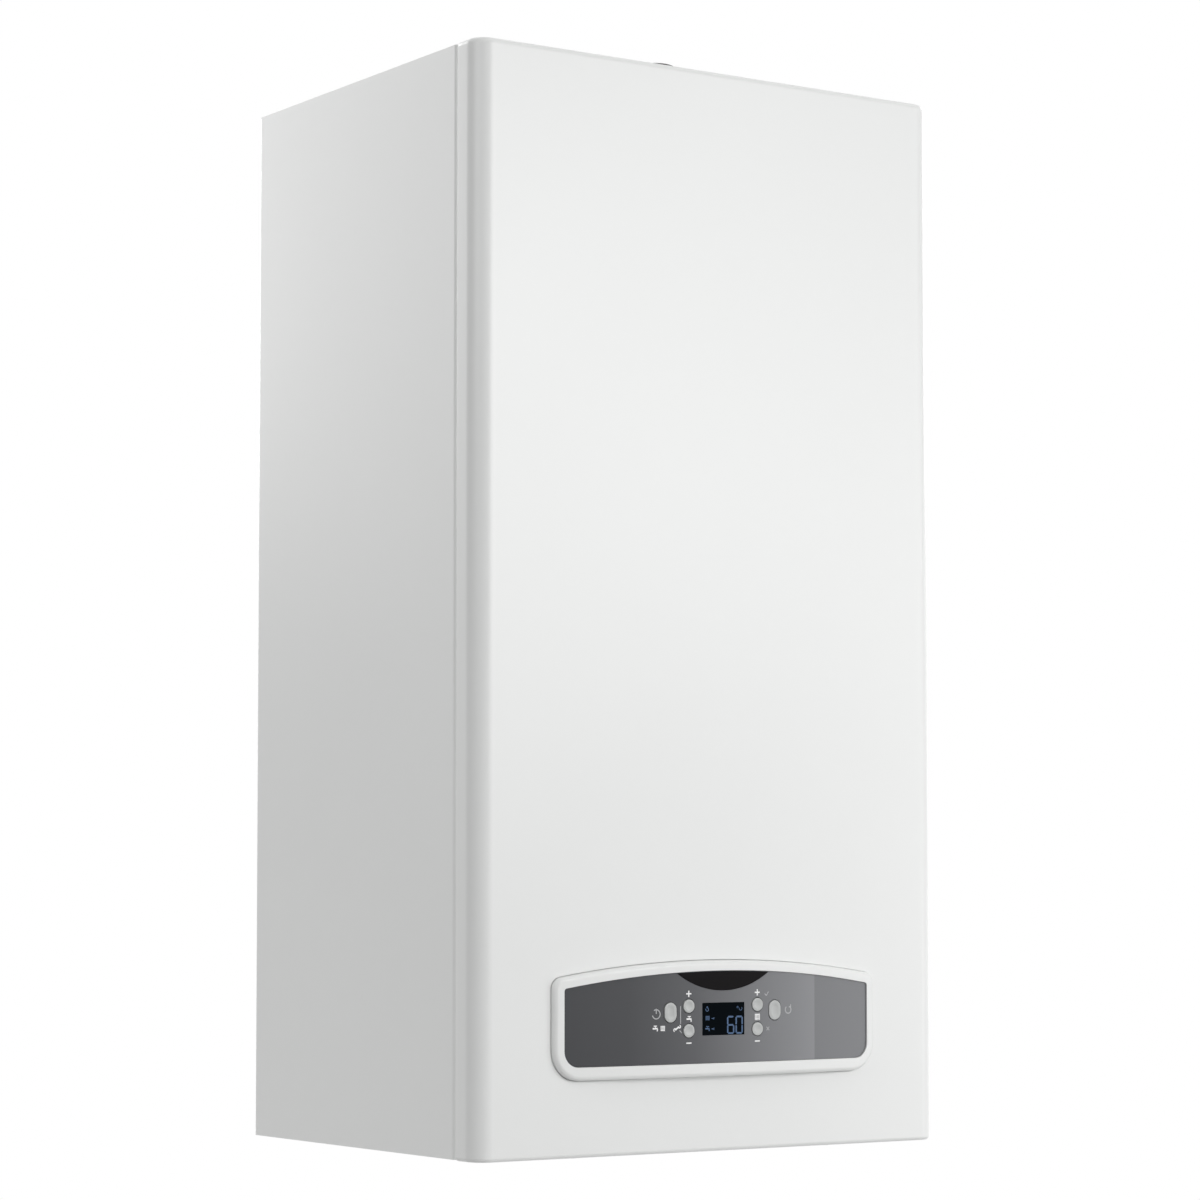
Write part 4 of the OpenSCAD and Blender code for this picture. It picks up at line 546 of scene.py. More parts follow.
def turnRod(name, centre, axis, low, high, radius, sides=48):
    return turnPiece(name, centre, axis, [(low, radius), (high, radius)], sides)


def joinPieces(name, pieces):
    clearSelection()
    for piece in pieces:
        piece.select_set(True)
    bpy.context.view_layer.objects.active = pieces[0]
    bpy.ops.object.join()
    return rename(bpy.context.object, name)


def dress(piece, finish, node=None, body="boiler_frame"):
    # a piece that stands for a node takes the node's body; the node is hidden and takes the same finish
    giveFinish(piece, finish)
    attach(piece, bodyOf[node] if node else body)
    if node:
        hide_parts(node)
        giveFinish(nodes[node], finish)


# front casing: a folded tray of sheet, open at the back
casing = {
    "halfWidth": 200, "top": 770, "front": -315, "back": -289, "corner": 14, "topRoll": 4.5,
    "footRoll": 3, "sheet": 1, "hem": 9,
    "spigotX": 130, "spigotZ": 765.5, "spigotRadius": 2.6,
    "screwX": 110, "screwY": -296, "screwRadius": 2.75,
    "opening": (139.4, 134.8, 850.4, 52.6, 21.4, 8.4),
}
# control panel outlines: half width, top, arch radius, bottom, foot radius, shoulder radius
panel = {
    "surround": (139, 134.4, 850, 53, 21, 8), "flange": (141.4, 136.8, 852.4, 50.6, 23.4, 10.4),
    "flangeFront": -313.4,
    "recess": (131.4, 127.3, 791.2, 62.3, 11.2, 2.2),
    "window": (126.2, 122.1, 786, 67.5, 6, 1),
    "fascia": (131.2, 127.1, 791, 62.5, 11, 2),
    "surroundFront": -325, "surroundBack": -311, "surroundRoll": 3.2,
    "fasciaFront": -323.8, "fasciaBack": -320.8,
    "bowRadius": 1700, "fasciaBow": 1698.8, "strips": 28,
    "archCuts": 23, "shoulderSteps": 6, "footSteps": 10, "rollSteps": 6,
}


def bowAt(x, radius):
    return radius - math.sqrt(radius * radius - x * x)


def archedSolid(name, outline, front, back, bow=0, roll=0, bowBack=True):
    # a plane whose top edge is bent into an arch, with round corners, pulled back and bowed
    half, top, arch, bottom, foot, shoulder = outline
    centre = top - arch
    corner = centre + math.sqrt(arch * arch - half * half)
    piece = uprightPlane(name, 0, (bottom + corner) / 2, 2 * half, corner - bottom, front)
    middle = casingBottom + (bottom + corner) / 2 * mm

    def toArch(point):
        if point.z < middle:
            return point
        x = point.x / mm
        return Vector((point.x, point.y, casingBottom + (centre + math.sqrt(arch * arch - x * x)) * mm))

    bendEdges(piece, panel["archCuts"], lambda a, b: min(a.z, b.z) > middle, toArch)
    lean = math.asin(half / arch)
    edge = (half - 0.01) * mm
    pick(piece, "VERT", lambda p: abs(p.x) > edge and p.z > middle)
    roundOff(shoulder / math.tan((math.pi / 2 + lean) / 2), panel["shoulderSteps"], "VERTICES")
    pick(piece, "VERT", lambda p: abs(p.x) > edge and p.z < casingBottom + (bottom + 0.01) * mm)
    roundOff(foot, panel["footSteps"], "VERTICES")
    pullBack(piece, back - front)
    shape(piece)
    if roll:
        pick(piece, "FACE", lambda c, n: n.y < -0.9)
        roundOff(roll, panel["rollSteps"], clamp_overlap=True)
    if bow:
        for strip in range(1, panel["strips"]):
            pickAll()
            bpy.ops.mesh.bisect(plane_co=((2 * strip / panel["strips"] - 1) * half * mm, 0, 0),
                                plane_no=(1, 0, 0))
    leaveShape()
    if bow:
        deep = (back - 0.01) * mm

        def toBow(point):
            fall = bowAt(point.x / mm, bow) * mm if bowBack or point.y <= deep else 0
            return Vector((point.x, point.y + fall, point.z))

        movePoints(piece, toBow)
    return piece


def makeCasing():
    look = casing
    half, top, radius = look["halfWidth"], look["top"], look["screwRadius"]
    piece = addCube("front_casing_shell", (-half, look["front"], 0), (half, look["back"], top))
    shape(piece)
    front = (look["front"] + 0.01) * mm
    back = (look["back"] - 0.01) * mm
    pick(piece, "EDGE", lambda a, b: max(a.y, b.y) < front and abs(a.x - b.x) < mm)
    roundOff(look["corner"], 12)
    pick(piece, "FACE", lambda c, n: n.y > 0.9)
    bpy.ops.mesh.delete(type="ONLY_FACE")
    pick(piece, "FACE", lambda c, n: n.z > 0.9)
    roundOff(look["topRoll"], 6)
    pick(piece, "FACE", lambda c, n: n.z < -0.9)
    roundOff(look["footRoll"], 5)
    pick(piece, "EDGE", lambda a, b: min(a.y, b.y) > back)
    bpy.ops.mesh.extrude_region_move()
    hem = look["hem"]
    bpy.ops.transform.resize(
        value=((half - hem) / half, 1, (top / 2 - hem) / (top / 2)),
        center_override=at(0, look["back"], top / 2))
    leaveShape()
    thicken(piece, look["sheet"])
    cutters = [archedSolid("openingCutter", look["opening"], look["front"] - 5, look["back"] + 5)]
    for side in (-1, 1):
        x = side * look["screwX"]
        cutters += [
            turnRod("spigotCutter", (side * look["spigotX"], 0, look["spigotZ"]), "y", -300, -280,
                    look["spigotRadius"], 24),
            turnRod("screwCutter", (x, look["screwY"], 0), "z", -3, 6, radius, 24),
            addCube("slotCutter", (x - radius, look["screwY"], -3), (x + radius, look["back"] + 5, 9.5))]
    combine("DIFFERENCE", piece, cutters)
    softEdges(piece, 0.32)
    dress(piece, "whitePaint", "front_casing")


makeCasing()
print("front casing made")


def makeSurround():
    front, back = panel["surroundFront"], panel["surroundBack"]
    piece = archedSolid("control_surround", panel["surround"], front, back, panel["bowRadius"],
                        panel["surroundRoll"], False)
    combine("UNION", piece, [archedSolid("surroundFlange", panel["flange"], panel["flangeFront"], back)])
    combine("DIFFERENCE", piece, [
        archedSolid("recessCutter", panel["recess"], front - 8, panel["fasciaBack"], panel["fasciaBow"]),
        archedSolid("windowCutter", panel["window"], front - 8, back + 6)])
    softEdges(piece, 0.5, 3)
    dress(piece, "whitePlastic", "control_bezel")


makeSurround()
print("control surround made")

controls = {
    "roundRadius": 4.75, "roundX": 29.75, "plusZ": 102.7, "minusZ": 85.5, "ovalX": 45.2, "ovalZ": 98.5,
    "ovalWidth": 10.3, "ovalHeight": 14, "gap": 0.5, "proud": 0.6, "dishRadius": 12, "dishDepth": 0.4,
    "dishSteps": (1.1, 1.9, 2.6, 3.07), "displayWidth": 36.3, "displayHeight": 22.7, "displayZ": 93.3,
    "badgeLow": 113.2, "badgeRadius": 68.7, "badgeZ": 120, "badgeCuts": 31,
    "flangeRadius": 6.25, "flangeBack": 1, "stemEnd": -307.9, "stemRadius": 2,
}


def ovalRod(name, x, radius, steps, sides=48):
    # a turned rod drawn apart into an upright oval; the seam sits between two corners
    lift = (controls["ovalHeight"] - controls["ovalWidth"]) / 2
    piece = turnPiece(name, (x, 0, controls["ovalZ"]), "y", steps, sides, 180 / sides)
    height = casingBottom + controls["ovalZ"] * mm
    movePoints(piece, lambda p: Vector((p.x, p.y, p.z + (lift if p.z > height else -lift) * mm)))
    return piece


def makeBadge(name, grow, front, back):
    # a crescent: a circle's lower arc against the fascia's arch
    look = controls
    radius = look["badgeRadius"] + grow
    centre = look["badgeLow"] + look["badgeRadius"]
    arch = panel["fascia"][2] - 0.4 + grow
    archCentre = panel["fascia"][1] - panel["fascia"][2]
    apart = centre - archCentre
    half = math.sqrt(arch ** 2 - ((apart ** 2 + arch ** 2 - radius ** 2) / (2 * apart)) ** 2)
    piece = uprightPlane(name, 0, look["badgeZ"], 2 * half, 10, front)
    middle = casingBottom + look["badgeZ"] * mm

    def toCrescent(point):
        x = point.x / mm
        if point.z > middle:
            height = archCentre + math.sqrt(arch ** 2 - x * x)
        else:
            height = centre - math.sqrt(radius ** 2 - x * x)
        return Vector((point.x, point.y, casingBottom + height * mm))

    bendEdges(piece, look["badgeCuts"], lambda a, b: abs(a.z - b.z) < mm, toCrescent)
    return pullBack(piece, back - front)


def makeFascia():
    look = controls
    front, back = panel["fasciaFront"], panel["fasciaBack"]
    piece = archedSolid("control_fascia_plate", panel["fascia"], front, back, panel["fasciaBow"])
    cutters = [makeBadge("badgeCutter", 0.1, front - 2, front + 1),
               addPlate("displayCutter", 0, look["displayZ"], look["displayWidth"] + 0.2,
                        look["displayHeight"] + 0.2, front - 2, back + 4)]
    for side in (-1, 1):
        for height in (look["plusZ"], look["minusZ"]):
            cutters.append(turnRod("roundCutter", (side * look["roundX"], 0, height), "y", front - 2,
                                   back + 4, look["roundRadius"] + look["gap"]))
        hole = look["ovalWidth"] / 2 + look["gap"]
        cutters.append(ovalRod("ovalCutter", side * look["ovalX"], hole,
                               [(front - 2, hole), (back + 4, hole)]))
    combine("DIFFERENCE", piece, cutters)
    softEdges(piece, 0.18)
    # the fascia takes its grey with the painted reflection
    dress(piece, "fasciaGreyWithPaintedReflection", "control_fascia")
    badge = makeBadge("badge_crescent", -0.05, front - 0.2, front + 1)
    softEdges(badge, 0.15)
    dress(badge, "badgeBlack", "badge_plate")


makeFascia()
print("fascia and badge made")


def makeButton(kind, x, z=None):
    # an oval button where no height is given
    look = controls
    face = panel["fasciaFront"] + bowAt(x, panel["fasciaBow"]) - look["proud"]
    flange = panel["fasciaBack"] + bowAt(x, panel["fasciaBow"]) + 0.3
    radius = look["ovalWidth"] / 2 if z is None else look["roundRadius"]
    # from the middle of the dish out to the rim, back to the flange and down the stem
    steps = [(face + look["dishDepth"], 0.3)]
    for part in look["dishSteps"]:
        rise = math.sqrt(look["dishRadius"] ** 2 - part * part)
        steps.append((face + (rise - (look["dishRadius"] - look["dishDepth"])), part))
    seat, wide, thin = flange + look["flangeBack"], look["flangeRadius"], look["stemRadius"]
    steps += [(face, radius - 0.45), (face + 0.13, radius - 0.13), (face + 0.45, radius), (flange, radius),
              (flange, wide), (seat, wide), (seat, thin), (look["stemEnd"], thin)]
    if z is None:
        piece = ovalRod(kind + "_key", x, radius, steps)
    else:
        piece = turnPiece(kind + "_key", (x, 0, z), "y", steps)
    smoothFaces(piece, 40)
    dress(piece, "buttonGrey", kind + "_button")


for side, kind in ((-1, "hot_water"), (1, "heating")):
    makeButton(kind + "_plus", side * controls["roundX"], controls["plusZ"])
    makeButton(kind + "_minus", side * controls["roundX"], controls["minusZ"])
makeButton("power", -controls["ovalX"])
makeButton("reset", controls["ovalX"])
print("buttons made")


display = {
    "front": -323.85, "back": -320.3, "digitX": (6.2, 13.6), "digitZ": 88.8, "digitHeight": 11.6,
    "digitWidth": 5.2, "stroke": 1.2, "proud": 0.04, "thick": 0.08, "corner": 0.4,
    "segments": {"6": "acdefg", "0": "abcdef"},
}
# signs in millimetres: a bar is x, z, width, height and lean in degrees, an arc is x, z, radius, width,
# start and sweep, a radiator is x, z, width and height, a tap is x, z and size
signs = {
    "lit": {
        "thick": 0.08, "radiators": ((-13.8, 94, 3.4, 3.2),), "taps": ((-13.8, 86.6, 4),),
        "bars": ((-9.2, 93.7, 2.4, 0.5), (-8.4, 93.7, 0.5, 1.6), (-9.2, 86.4, 2.4, 0.5),
                 (-8.4, 86.4, 0.5, 1.6), (-14.2, 101.7, 0.9, 1.2, 45)),
        "arcs": ((-14.2, 100, 1.2, 0.5, 110, 320), (12.2, 101.2, 0.6, 0.35, 0, 360),
                 (14.9, 100.2, 1.2, 0.4, 50, 260))},
    "bright": {
        "thick": 0.12, "radiators": ((29.75, 94, 4.4, 4.6), (-51.6, 87.6, 3.6, 3.8)),
        "taps": ((-29.4, 93.7, 4.6), (-57.7, 87.6, 4.6)),
        "bars": ((-29.75, 111.3, 4.4, 0.95), (-29.75, 111.3, 0.95, 4.4), (-29.75, 76.9, 4.4, 0.95),
                 (29.75, 111.3, 4.4, 0.95), (29.75, 111.3, 0.95, 4.4), (29.75, 76.9, 4.4, 0.95),
                 (-39.6, 87.4, 4.2, 1.1, -32)),
        "arcs": ((-37.7, 88.6, 0.95, 0.8, 77, 270), (-41.5, 86.2, 0.95, 0.8, 257, 270))},
    "faint": {
        "thick": 0.12,
        "bars": ((-57, 99.6, 0.75, 3.6), (-36.7, 96.6, 0.6, 12.4), (-36.7, 85, 2.6, 0.5, 50),
                 (37, 109.6, 0.55, 1.9, -40), (38.8, 110.2, 0.55, 3.4, 35), (39.2, 85.5, 0.55, 3.4, 45),
                 (39.2, 85.5, 0.55, 3.4, -45), (59.2, 100.4, 1.9, 0.7), (59.9, 101.2, 0.7, 1.9)),
        "arcs": ((-57, 97.5, 3.2, 0.75, 125, 290), (57.6, 98.5, 2.6, 0.8, 60, 290))},
}


def markBar(x, z, width, height, front, thick=0.12, lean=0, corner=0):
    # one printed or lit stroke, turned by lean degrees about its middle
    piece = addPlate("markBar", x, z, width, height, front, front + thick, corner, 3)
    if lean:
        turnAbout(piece, at(x, 0, z), lean, "Y")
    return piece


def markArc(x, z, radius, width, start, sweep, front, thick):
    # a stroke spun round the middle of a ring
    piece = addPlate("markArc", x + radius, z, width, 0.02, front, front + thick)
    shape(piece)
    pick(piece, "FACE", lambda c, n: n.z > 0.9)
    bpy.ops.mesh.spin(steps=max(6, int(abs(sweep) / 15)), angle=math.radians(sweep), center=at(x, 0, z),
                      axis=(0, -1, 0))
    leaveShape()
    outwards(piece)
    turnAbout(piece, at(x, 0, z), -start, "Y")
    return piece


def radiatorMark(x, z, width, height, front):
    marks = [markBar(x, z + side * height * 0.32, width, height * 0.1, front) for side in (-1, 1)]
    for column in range(4):
        across = x + (column - 1.5) * width * 0.27
        marks.append(markBar(across, z, width * 0.16, height, front, corner=0.2))
    return marks


def tapMark(x, z, size, front):
    return [markBar(x - size * 0.05, z, size * 0.9, size * 0.24, front, corner=0.1),
            markBar(x + size * 0.34, z - size * 0.22, size * 0.2, size * 0.4, front, corner=0.1),
            markBar(x, z + size * 0.22, size * 0.14, size * 0.3, front),
            markBar(x, z + size * 0.38, size * 0.6, size * 0.14, front, corner=0.1)]


def drawSigns(look, front):
    marks = []
    for sign in look.get("radiators", ()):
        marks += radiatorMark(*sign, front)
    for sign in look.get("taps", ()):
        marks += tapMark(*sign, front)
    for x, z, width, height, *lean in look["bars"]:
        marks.append(markBar(x, z, width, height, front, look["thick"], *lean))
    for sign in look["arcs"]:
        marks.append(markArc(*sign, front, look["thick"]))
    return marks


def makeDisplay():
    look = display
    glassPlate = addPlate("display_lens", 0, controls["displayZ"], controls["displayWidth"],
                          controls["displayHeight"], look["front"], look["back"], look["corner"], 3)
    softEdges(glassPlate, 0.15)
    dress(glassPlate, "displayBlack", "display_window")
    front = look["front"] - look["proud"]
    half, tall, stroke = look["digitWidth"] / 2, look["digitHeight"] / 2, look["stroke"]
    # each segment's middle, and whether it lies level
    spots = {"a": (0, tall, True), "b": (half, tall / 2, False), "c": (half, -tall / 2, False),
             "d": (0, -tall, True), "e": (-half, -tall / 2, False), "f": (-half, tall / 2, False),
             "g": (0, 0, True)}
    lit = []
    for place, digit in zip(look["digitX"], "60"):
        for letter in look["segments"][digit]:
            across, up, level = spots[letter]
            wide, high = (2 * half - 0.5, stroke) if level else (stroke, tall - 0.5)
            lit.append(markBar(place + across, look["digitZ"] + up, wide, high, front, look["thick"],
                               corner=stroke * 0.45))
    digits = joinPieces("display_figures", lit + drawSigns(signs["lit"], front))
    dress(digits, "segmentBlue", body="control_box")


def makeSymbols():
    # printed on the fascia: each stroke is laid on the flat front, then all of it takes the fascia's bow
    front = panel["fasciaFront"] - 0.06
    for name, kind, ink in (("panel_symbols", "bright", "inkWhite"),
                            ("panel_symbols_faint", "faint", "inkPale")):
        piece = joinPieces(name, drawSigns(signs[kind], front))
        movePoints(piece, lambda p: Vector((p.x, p.y + bowAt(p.x / mm, panel["fasciaBow"]) * mm, p.z)))
        dress(piece, ink, body="control_box")


makeDisplay()
makeSymbols()
print("display and symbols made")

# side panels: sheet folded in at the front and the back
sidePanel = {"face": 199.5, "front": -288.3, "back": -2, "low": 0.7, "top": 768.5, "flange": 22,
             "return": 14, "bend": 4.5, "backBend": 2, "sheet": 1, "flangeTop": 766.5,
             "screws": ((183.5, 50), (183.5, 280), (183.5, 730)), "screwRadius": 1.6}


def makeSide(name, node, side):
    look = sidePanel
    clearSelection()
    bpy.ops.mesh.primitive_plane_add(
        size=1, location=at(side * look["face"], (look["front"] + look["back"]) / 2,
                            (look["low"] + look["top"]) / 2),
        rotation=(0, side * math.pi / 2, 0))
    piece = settle(bpy.context.object, name,
                   ((look["top"] - look["low"]) * mm, (look["back"] - look["front"]) * mm, 1))
    shape(piece)
    front, back = (look["front"] + 1) * mm, (look["back"] - 1) * mm
    outer = (look["face"] - 1) * mm
    pick(piece, "EDGE", lambda a, b: max(a.y, b.y) < front)
    pull((-side * look["flange"] * mm, 0, 0))
    pick(piece, "EDGE", lambda a, b: min(a.y, b.y) > back)
    pull((-side * look["return"] * mm, 0, 0))
    pick(piece, "EDGE", lambda a, b: max(a.y, b.y) < front and min(abs(a.x), abs(b.x)) > outer)
    roundOff(look["bend"], 7)
    pick(piece, "EDGE", lambda a, b: min(a.y, b.y) > back and min(abs(a.x), abs(b.x)) > outer)
    roundOff(look["backBend"], 4)
    leaveShape()
    facing = sum(face.normal.x * face.area for face in piece.data.polygons)
    if facing * side < 0:
        shape(piece)
        pickAll()
        bpy.ops.mesh.flip_normals()
        leaveShape()
    thicken(piece, look["sheet"])
    low = look["face"] - look["flange"] - 2
    ends = sorted((side * low, side * (look["face"] - look["sheet"])))
    cutters = [addCube("topCutter", (ends[0], -300, look["flangeTop"]), (ends[1], 5, 780))]
    for x, z in look["screws"]:
        cutters.append(turnRod("screwCutter", (side * x, 0, z), "y", -295, -280,
                               look["screwRadius"], 16))
    combine("DIFFERENCE", piece, cutters)
    softEdges(piece, 0.25)
    dress(piece, "whitePaint", node)


makeSide("left_side_panel", "side_panel_left", -1)
makeSide("right_side_panel", "side_panel_right", 1)
print("side panels made")

testCap = {"centre": (0, -239, 0), "seat": 768.2, "radius": 17, "crown": 4, "height": 787.7,
           "stem": 6, "neck": 8, "dish": (7.5, 7, 0.8)}


def makeTestCap():
    look = testCap
    top, crown = look["height"], look["crown"]
    seat, radius = look["seat"], look["radius"]
    steps = [(seat - 8, look["stem"]), (seat, look["neck"]), (seat, radius)]
    for turn in range(0, 91, 15):
        lean = math.radians(turn)
        steps.append((top - crown * (1 - math.sin(lean)), radius - crown * (1 - math.cos(lean))))
    outer, inner, deep = look["dish"]
    steps += [(top, outer), (top - deep, inner), (top - deep, 1)]
    piece = turnPiece("flue_test_cap", look["centre"], "z", steps, 64)
    smoothFaces(piece, 35)
    dress(piece, "blackPlastic", "test_point_cap")


makeTestCap()
print("test cap made")


def copyNode(node, name, width, above=None):
    # a carried-over solid's own copy: merged, then its flat faces made whole and its edges rounded
    clearSelection()
    piece = addObject(name, nodes[node].data.copy())
    piece.data.name = name
    shape(piece)
    pickAll()
    bpy.ops.mesh.remove_doubles(threshold=0.00001)
    if above is not None:
        bpy.ops.mesh.bisect(plane_co=at(0, 0, above), plane_no=(0, 0, 1), clear_inner=True,
                            use_fill=True)
    if width:
        bpy.ops.mesh.dissolve_limited(angle_limit=math.radians(0.1))
    leaveShape()
    if width:
        softEdges(piece, width, 2, 32, 38)
    else:
        smoothFaces(piece, 38)
    return piece


# solids whose form is right, by finish: the node, its new piece, and how far its edges are rounded
roundedParts = {
    "darkPlastic": (("control_box", "control_box_shell", 0.9),
                    ("control_box_cover", "control_box_lid", 0.6)),
    "zincSheet": (("chamber_cover", "sealed_chamber_door", 0.5),
                  ("sealed_chamber", "sealed_chamber_shell", 0.25), ("lower_frame", "floor_frame", 0.25),
                  ("rear_frame", "rear_frame_sheet", 0.25), ("wall_bracket", "wall_bracket_bar", 0.3)),
    "whitePaint": (("top_plate", "top_sheet", 0.3), ("air_intake_cover", "intake_cover", 0.5)),
    "aluminium": (("flue_collar", "flue_collar_casting", 0.4), ("gas_valve", "gas_valve_casting", 1.2),
                  ("fan_housing", "fan_scroll", 0.4), ("flue_hood", "flue_hood_sheet", 0.3),
                  ("gas_manifold", "gas_manifold_casting", 0.6)),
    "castIron": (("pump_body", "pump_casting", 0.9),),
    "brass": (("diverter_valve", "diverter_body", 0.9), ("safety_valve", "safety_valve_body", 0.4),
              ("filling_tap", "filling_tap_body", 0.4)),
    "blackPlastic": (("diverter_actuator", "diverter_motor", 1.6), ("cable_gland", "mains_gland", 0.6),
                     ("flow_sensor", "flow_sensor_case", 0.7)),
    "redPlastic": (("safety_valve_knob", "safety_valve_grip", 0.7),
                   ("gauge_needle", "gauge_pointer", 0.1)),
    "bluePlastic": (("filling_knob", "filling_grip", 0.7),),
    "stainless": (("plate_exchanger", "plate_stack", 0.3), ("fan_motor", "fan_motor_can", 0.6),
                  ("combustion_chamber", "fire_chamber_sheet", 0.3)),
    "redPaint": (("expansion_vessel", "vessel_shells", 0.5),),
    "switchPlastic": (("air_pressure_switch", "pressure_switch_case", 0.6),),
}
for finish, parts in roundedParts.items():
    for node, name, width in parts:
        dress(copyNode(node, name, width), finish, node)
print("rounded", sum(len(parts) for parts in roundedParts.values()), "carried-over forms")

# threaded tails under the floor plate, each held by a lock nut and its own nut
tails = {
    "y": -95, "low": 3, "lock": (17, 22), "nut": (24, 48), "wayTop": 44, "pitch": 1.8, "depth": 0.8,
    "bore": 0.68, "sizes": {"large": (13.2, 17.3), "small": (10.5, 13.8)},
    "gas": [(0, "large")], "heating": [(-130, "large"), (130, "large")],
    "water": [(-65, "small"), (65, "small")], "pipeLow": 47.8, "link": (130, 40, 8, -118, -108),
    "thread": ((0.05, 0), (0.4, 1), (0.6, 1), (0.95, 0)),  # parts of the pitch, and of the depth
}


def hexNut(name, centre, axis, ends, radius, edge=0.93):
    low, high = ends
    piece = turnPiece(name, centre, axis, [(low, radius * edge), (low + 1, radius), (high - 1, radius),
                                           (high, radius * edge)], 6)
    softEdges(piece, 0.5, 2, 20, 38)
    return piece


def threadSteps(radius, low, high):
    steps = [(low, radius - tails["depth"] - 0.5)]
    height = low + 0.4
    while height + tails["pitch"] < high:
        for part, rise in tails["thread"]:
            steps.append((height + part * tails["pitch"], radius - tails["depth"] * (1 - rise)))
        height += tails["pitch"]
    return steps


def makeTail(name, x, size):
    look = tails
    radius, nutRadius = look["sizes"][size]
    centre = (x, look["y"], 0)
    way = look["bore"] * radius
    steps = [(look["wayTop"], 0.5), (look["wayTop"], way), (look["low"], way)]
    steps += threadSteps(radius, look["low"], look["lock"][0] + 3)
    steps.append((look["nut"][1] - 1, radius - look["depth"]))
    piece = turnPiece(name, centre, "z", steps, 40)
    smoothFaces(piece, 25)
    return combine("UNION", piece, [hexNut("lockNut", centre, "z", look["lock"], nutRadius),
                                    hexNut("tailNut", centre, "z", look["nut"], nutRadius)])


for group, node, finish, slot, tube in (
        ("gas", "gas_pipe", "yellowBrass", "yellow_brass", "yellowBrass"),
        ("heating", "heating_pipes", "brass", "brass", "copper"),
        ("water", "water_pipes", "brass", "brass", "copper")):
    made = [makeTail(group + "_tail", x, size) for x, size in tails[group]]
    if group == "heating":
        x, z, radius, back, front = tails["link"]
        made.append(turnRod("valveLink", (x, 0, z), "y", back, front, radius, 40))
        smoothFaces(made[-1], 38)
    ends = made[0] if len(made) == 1 else joinPieces(group + "_tails", made)
    dress(ends, finish, node)
    dress(copyNode(node, group + "_pipe_runs", 0, tails["pipeLow"]), tube, node)
print("tails and pipe runs made")

# union nuts where the tubes meet the plate exchanger; each port is a side and a height
unions = {"along": (-74, -61), "radius": 12.5, "edge": 0.92,
          "ports": ((-85, 80), (85, 80), (-65, 120), (65, 120))}
made = [hexNut("unionNut", (x, 0, z), "y", unions["along"], unions["radius"], unions["edge"])
        for x, z in unions["ports"]]
dress(joinPieces("union_nuts", made), "brass")
print("union nuts made")

# pressure gauge: a moulded case under the floor plate, its dial facing down
gauge = {
    "centre": (-32, -150, 0), "low": 8, "face": 13, "radius": 19, "rim": 21.4, "window": 16.9, "neck": 4,
    "shoulder": 34, "top": 46, "sweep": 270, "steps": 20, "numbers": ("0", "1", "2", "3", "4"),
    "numberRadius": 9.4, "numberSize": 5.2, "tickOuter": 15.6, "large": (3.4, 0.8), "small": (1.8, 0.4),
}


def onDial(angle, length, width, thick=0.15):
    # a printed bar that points outwards from the dial's middle
    x, y, z = gauge["centre"]
    outer = gauge["tickOuter"]
    piece = addCube("dialBar", (x + outer - length, y - width / 2, gauge["face"] - 0.5 - thick),
                    (x + outer, y + width / 2, gauge["face"] - 0.45))
    turnAbout(piece, (x * mm, y * mm, 0), angle, "Z")
    return piece


def dialNumber(number, angle):
    x, y, z = gauge["centre"]
    clearSelection()
    bpy.ops.object.text_add(rotation=(math.pi, 0, 0), location=at(
        x + gauge["numberRadius"] * math.cos(angle), y + gauge["numberRadius"] * math.sin(angle),
        gauge["face"] - 0.52))
    text = bpy.context.object.data
    text.body = number
    text.size = gauge["numberSize"] * mm
    text.align_x = "CENTER"
    text.align_y = "CENTER"
    text.extrude = 0.08 * mm
    bpy.ops.object.convert(target="MESH")
    return settle(bpy.context.object, "dialNumber")


def makeGauge():
    look = gauge
    low, face, rim, radius, window, shoulder, neck = (
        look[key] for key in ("low", "face", "rim", "radius", "window", "shoulder", "neck"))
    case = turnPiece("gauge_case", look["centre"], "z", [
        (face, 0.5), (face, window + 0.1), (low + 0.8, window + 0.1), (low, window + 0.9),
        (low, rim - 0.7), (low + 0.7, rim), (low + 2.4, rim), (low + 3, rim - 0.6), (low + 3, radius),
        (shoulder - 1, radius), (shoulder, radius - 1), (shoulder, neck), (look["top"], neck)], 64)
    smoothFaces(case, 35)
    dress(case, "blackPlastic", "pressure_gauge")
    dial = turnPiece("gauge_dial", look["centre"], "z", [
        (face - 0.5, 1.4), (face - 0.5, window), (face, window)], 64)
    smoothFaces(dial, 35)
    dress(dial, "gaugeDial")
    marks = []
    for step in range(look["steps"] + 1):
        length, width = look["small" if step % 5 else "large"]
        marks.append(onDial(look["sweep"] * step / look["steps"], length, width))
    for index, number in enumerate(look["numbers"]):
        angle = look["sweep"] * index / (len(look["numbers"]) - 1)
        marks.append(dialNumber(number, math.radians(angle)))
    dress(joinPieces("gauge_marks", marks), "inkBlack")


makeGauge()
print("gauge made")

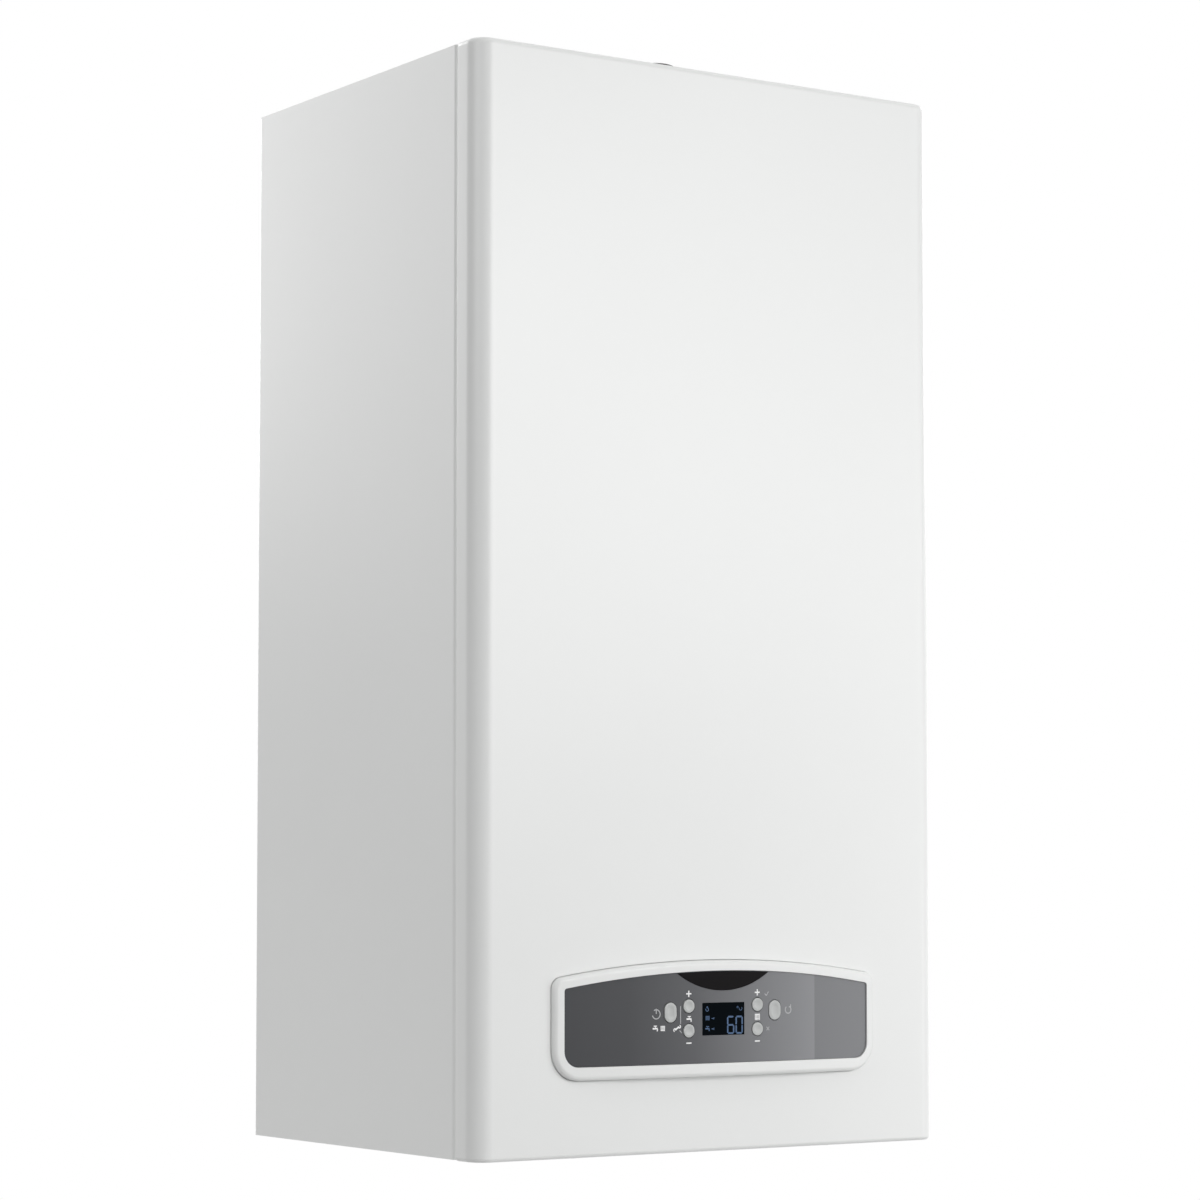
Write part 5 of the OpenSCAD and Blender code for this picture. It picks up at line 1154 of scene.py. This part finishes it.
# sheet-metal screws: one pan head and one flat head with a cross, and their copies on both sides
screws = {
    "shaft": 1.5, "head": 3.5, "rise": 2, "length": 6,
    "crossWidth": 0.8, "crossLength": 4, "crossDepth": 1.2,
    "flat": [(-5, 1.4), (-4, 2), (0, 2), (0, 3.9), (0.55, 4), (1, 3.2)], "flatCross": (0.3, 2),
    "rows": ((172, -290.3, (280, 394.8, 509.6, 624.4, 739.2)), (183.5, -288.3, (50, 280, 730))),
    "collar": ((39.24, -189.24, 770.2), (39.24, -110.76, 770.2)), "casing": (110, -296, -0.3),
}


def makeScrew(name, steps, deep, high):
    # turned on the spot, with a cross from the depth up to above the head
    half, wide = screws["crossLength"] / 2, screws["crossWidth"] / 2
    piece = turnPiece(name, (0, 0, 0), "z", steps, 32)
    combine("DIFFERENCE", piece, [addCube("cross", (-half, -wide, deep), (half, wide, high)),
                                  addCube("cross", (-wide, -half, deep), (wide, half, high))])
    smoothFaces(piece, 32)
    return piece


def makeScrews():
    look = screws
    head, rise, shaft, length = look["head"], look["rise"], look["shaft"], look["length"]
    pan = makeScrew("panScrew", [
        (-length, 0.5), (-length + 1.5, shaft), (0, shaft), (0, head - 0.15), (0.15, head),
        (rise * 0.45, head), (rise * 0.8, head * 0.82), (rise, head * 0.55)],
        rise - look["crossDepth"], rise + 1)
    flat = makeScrew("flatScrew", look["flat"], *look["flatCross"])
    base = Matrix.Translation(Vector((0, 0, -casingBottom)))
    toFront = Matrix.Rotation(math.pi / 2, 4, "X")
    upDown = Matrix.Rotation(math.pi, 4, "X")
    places = []
    for side in (-1, 1):
        places += [(pan, toFront, side, (x, y, z)) for x, y, heights in look["rows"] for z in heights]
        places += [(pan, Matrix.Identity(4), side, spot) for spot in look["collar"]]
        places.append((flat, upDown, side, look["casing"]))
    made = []
    for model, turn, side, (x, y, z) in places:
        screw = addObject("screw", model.data.copy())
        place = Matrix.Translation(at(side * x, y, z))
        movePoints(screw, lambda p: place @ turn @ base @ p)
        made.append(screw)
    for model in (pan, flat):
        bpy.data.objects.remove(model, do_unlink=True)
    dress(joinPieces("panel_screws", made), "brightScrew", "sheet_metal_screws")


makeScrews()
print("screws made")
